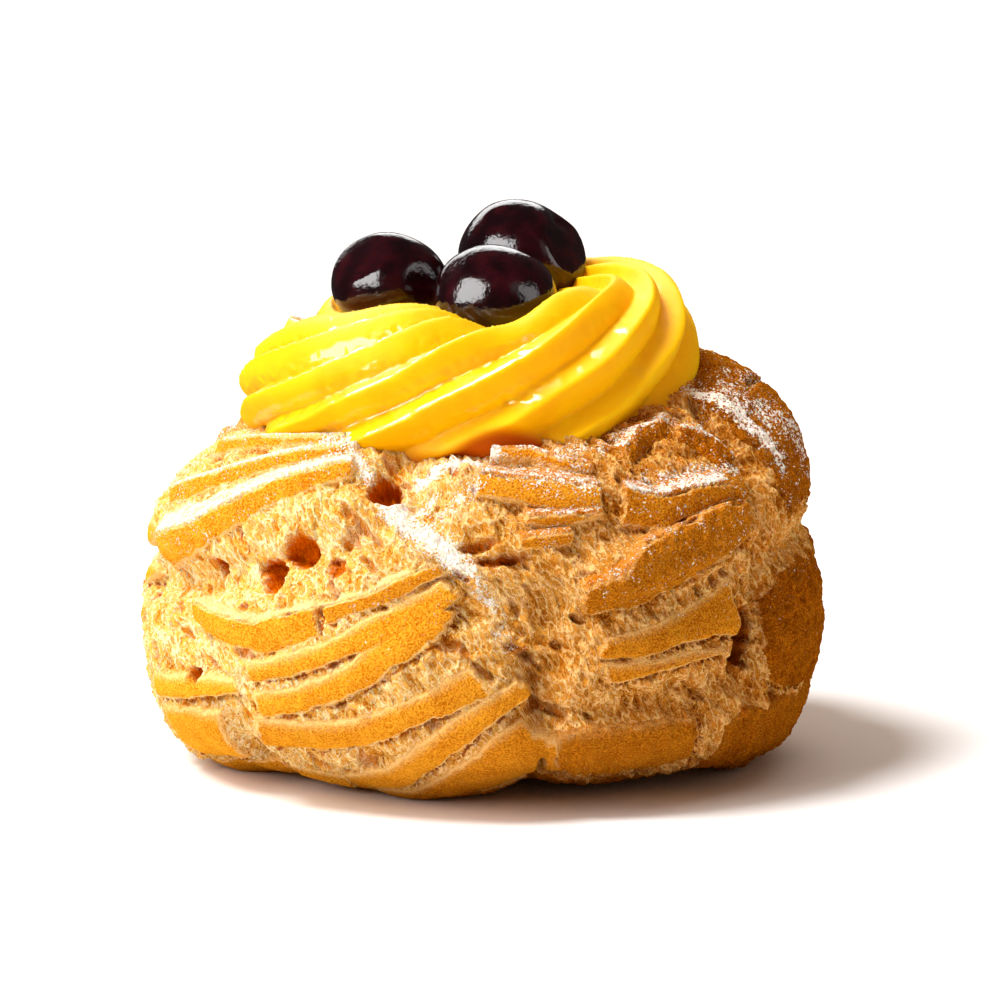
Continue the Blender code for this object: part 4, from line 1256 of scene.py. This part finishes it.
custard_paint = Paint("piped custard", Subsurface_Weight=0.35, Subsurface_Radius=(1.0, 0.45, 0.08),
                      Subsurface_Scale=0.004, IOR=1.15, Coat_IOR=1.5, Coat_Roughness=0.13)
here = custard_paint.place()
soft = custard_paint.grain(SOFT_CLOUD, here, detail=2.0)
patches = custard_paint.grain(WET_PATCH, here, detail=2.0)
fine = custard_paint.grain(CUSTARD_GRAIN, here, detail=3.0)
tone = custard_paint.mix(custard_paint.rise(soft, *YELLOW_SHOWS), CUSTARD_GOLD, CUSTARD_YELLOW)
# Painted shade: the low round under the swirl takes the deeper amber tone.
tone = custard_paint.mix(custard_paint.attribute("swirl"), CUSTARD_AMBER, tone)
wetness = custard_paint.attribute("flank") + (soft - 0.5) + (patches - 0.5) * 1.2
wet = custard_paint.rise(wetness, *WET_SHOWS)
custard_finish = custard_paint.send(
    Base_Color=tone, Roughness=0.5 - wet * 0.15, Coat_Weight=wet,
    Normal=custard_paint.bump(soft * 0.5 + fine * 0.12, CUSTARD_BUMP),
)
custard = finish_piece("custard_swirl", custard_form, custard_finish, "custard")
sheen = bpy.data.collections.new("lit by the sheen box")
sheen.objects.link(custard)
hang(SHEEN_BOX).light_linking.receiver_collection = sheen

# %% [markdown]
# ## Cherries
#
# A cherry from syrup has lost its stone and some of its juice, so it is not a perfect ball: it is a
# little flat, dimpled where the stalk was, and creased. Each one is a ball that is pressed flat on
# two sides, dimpled and creased, and then scaled, turned and moved to its place. The mesh carries
# the place, so the object itself stays at the origin. Most of what is seen of a cherry is what it
# mirrors, so its own colour is nearly black.

# %% Cherry forms
Cherry = namedtuple("Cherry", "centre radii turn stalk facets")
CHERRIES = {
    "cherry_left": Cherry((-12.5, 0.0, 66.5), (8.3, 8.0, 7.2), (0, 10, 20), (-0.2, 0.8, 0.7),
                          (((-0.8, -0.3, 0.5), 0.84), ((0.2, -0.9, 0.3), 0.95))),
    "cherry_front": Cherry((1.8, -12.0, 66.2), (8.4, 8.2, 7.1), (0, -4, 0), (0.7, 0.6, 0.6),
                           (((0.5, 0.2, 0.8), 0.94), ((-0.6, -0.4, 0.6), 0.96))),
    "cherry_back": Cherry((5.6, 7.0, 69.6), (9.0, 8.6, 8.0), (0, 8, -15), (0.55, 0.1, 0.85),
                          (((0.85, -0.2, 0.5), 0.80), ((-0.3, -0.6, 0.7), 0.96))),
}
PRESSED = 0.8
DIMPLE_DEPTH, DIMPLE_SPREAD = 0.12, 0.05
FOLD_DEPTH = 0.03
UNEVEN_SHARE, UNEVEN_PITCH = 0.015, 1.8
CHERRY_SEGMENTS, CHERRY_RINGS = 128, 80


def cherry_form(cherry, seed):
    """A pressed, dimpled and creased ball in its place; the seed makes each one uneven in its own way."""
    form = ball(CHERRY_SEGMENTS, CHERRY_RINGS)
    for vertex in form.verts:
        x, y, z = vertex.co
        from_stalk = (vertex.co - Vector(cherry.stalk)).length_squared
        dimple = DIMPLE_DEPTH * math.exp(-from_stalk / DIMPLE_SPREAD)
        fold = FOLD_DEPTH * math.sin(3.0 * x + 2.0 * y) * max(0.0, z)
        uneven = UNEVEN_SHARE * noise.noise(vertex.co * UNEVEN_PITCH + Vector((seed, 0, 0)))
        for direction, reach in cherry.facets:
            towards = Vector(direction).normalized()
            over = vertex.co.dot(towards) - reach
            if over > 0:
                vertex.co -= towards * over * PRESSED
        vertex.co *= 1 - dimple - fold + uneven
    bmesh.ops.scale(form, vec=Vector(cherry.radii) * MM, verts=form.verts)
    turn = Euler([math.radians(t) for t in cherry.turn]).to_matrix()
    bmesh.ops.rotate(form, matrix=turn, verts=form.verts)
    bmesh.ops.translate(form, vec=Vector(cherry.centre) * MM, verts=form.verts)
    return form


# %% Cherry material
CHERRY_BLACK, CHERRY_RED = named_rgb(18, 3, 6), named_rgb(44, 6, 11)
CHERRY_MOTTLE, CHERRY_GRAIN, CHERRY_BUMP, RED_SHOWS = 0.003, 0.0005, 0.00016, (0.35, 0.75)

cherry_paint = Paint("syrup cherry", Subsurface_Weight=0.12, Subsurface_Radius=(1.0, 0.1, 0.06),
                     Subsurface_Scale=0.003, IOR=1.5)
here = cherry_paint.place()
mottle = cherry_paint.grain(CHERRY_MOTTLE, here, detail=3.0)
grain = cherry_paint.grain(CHERRY_GRAIN, here, detail=2.0)
tone = cherry_paint.mix(cherry_paint.rise(mottle, *RED_SHOWS), CHERRY_BLACK, CHERRY_RED)
cherry_finish = cherry_paint.send(
    Base_Color=tone, Roughness=0.06 + mottle * 0.12,
    Normal=cherry_paint.bump(mottle * 0.8 + grain * 0.25, CHERRY_BUMP),
)
for seed, (name, cherry) in enumerate(CHERRIES.items()):
    finish_piece("syrup_" + name, cherry_form(cherry, seed), cherry_finish, name)
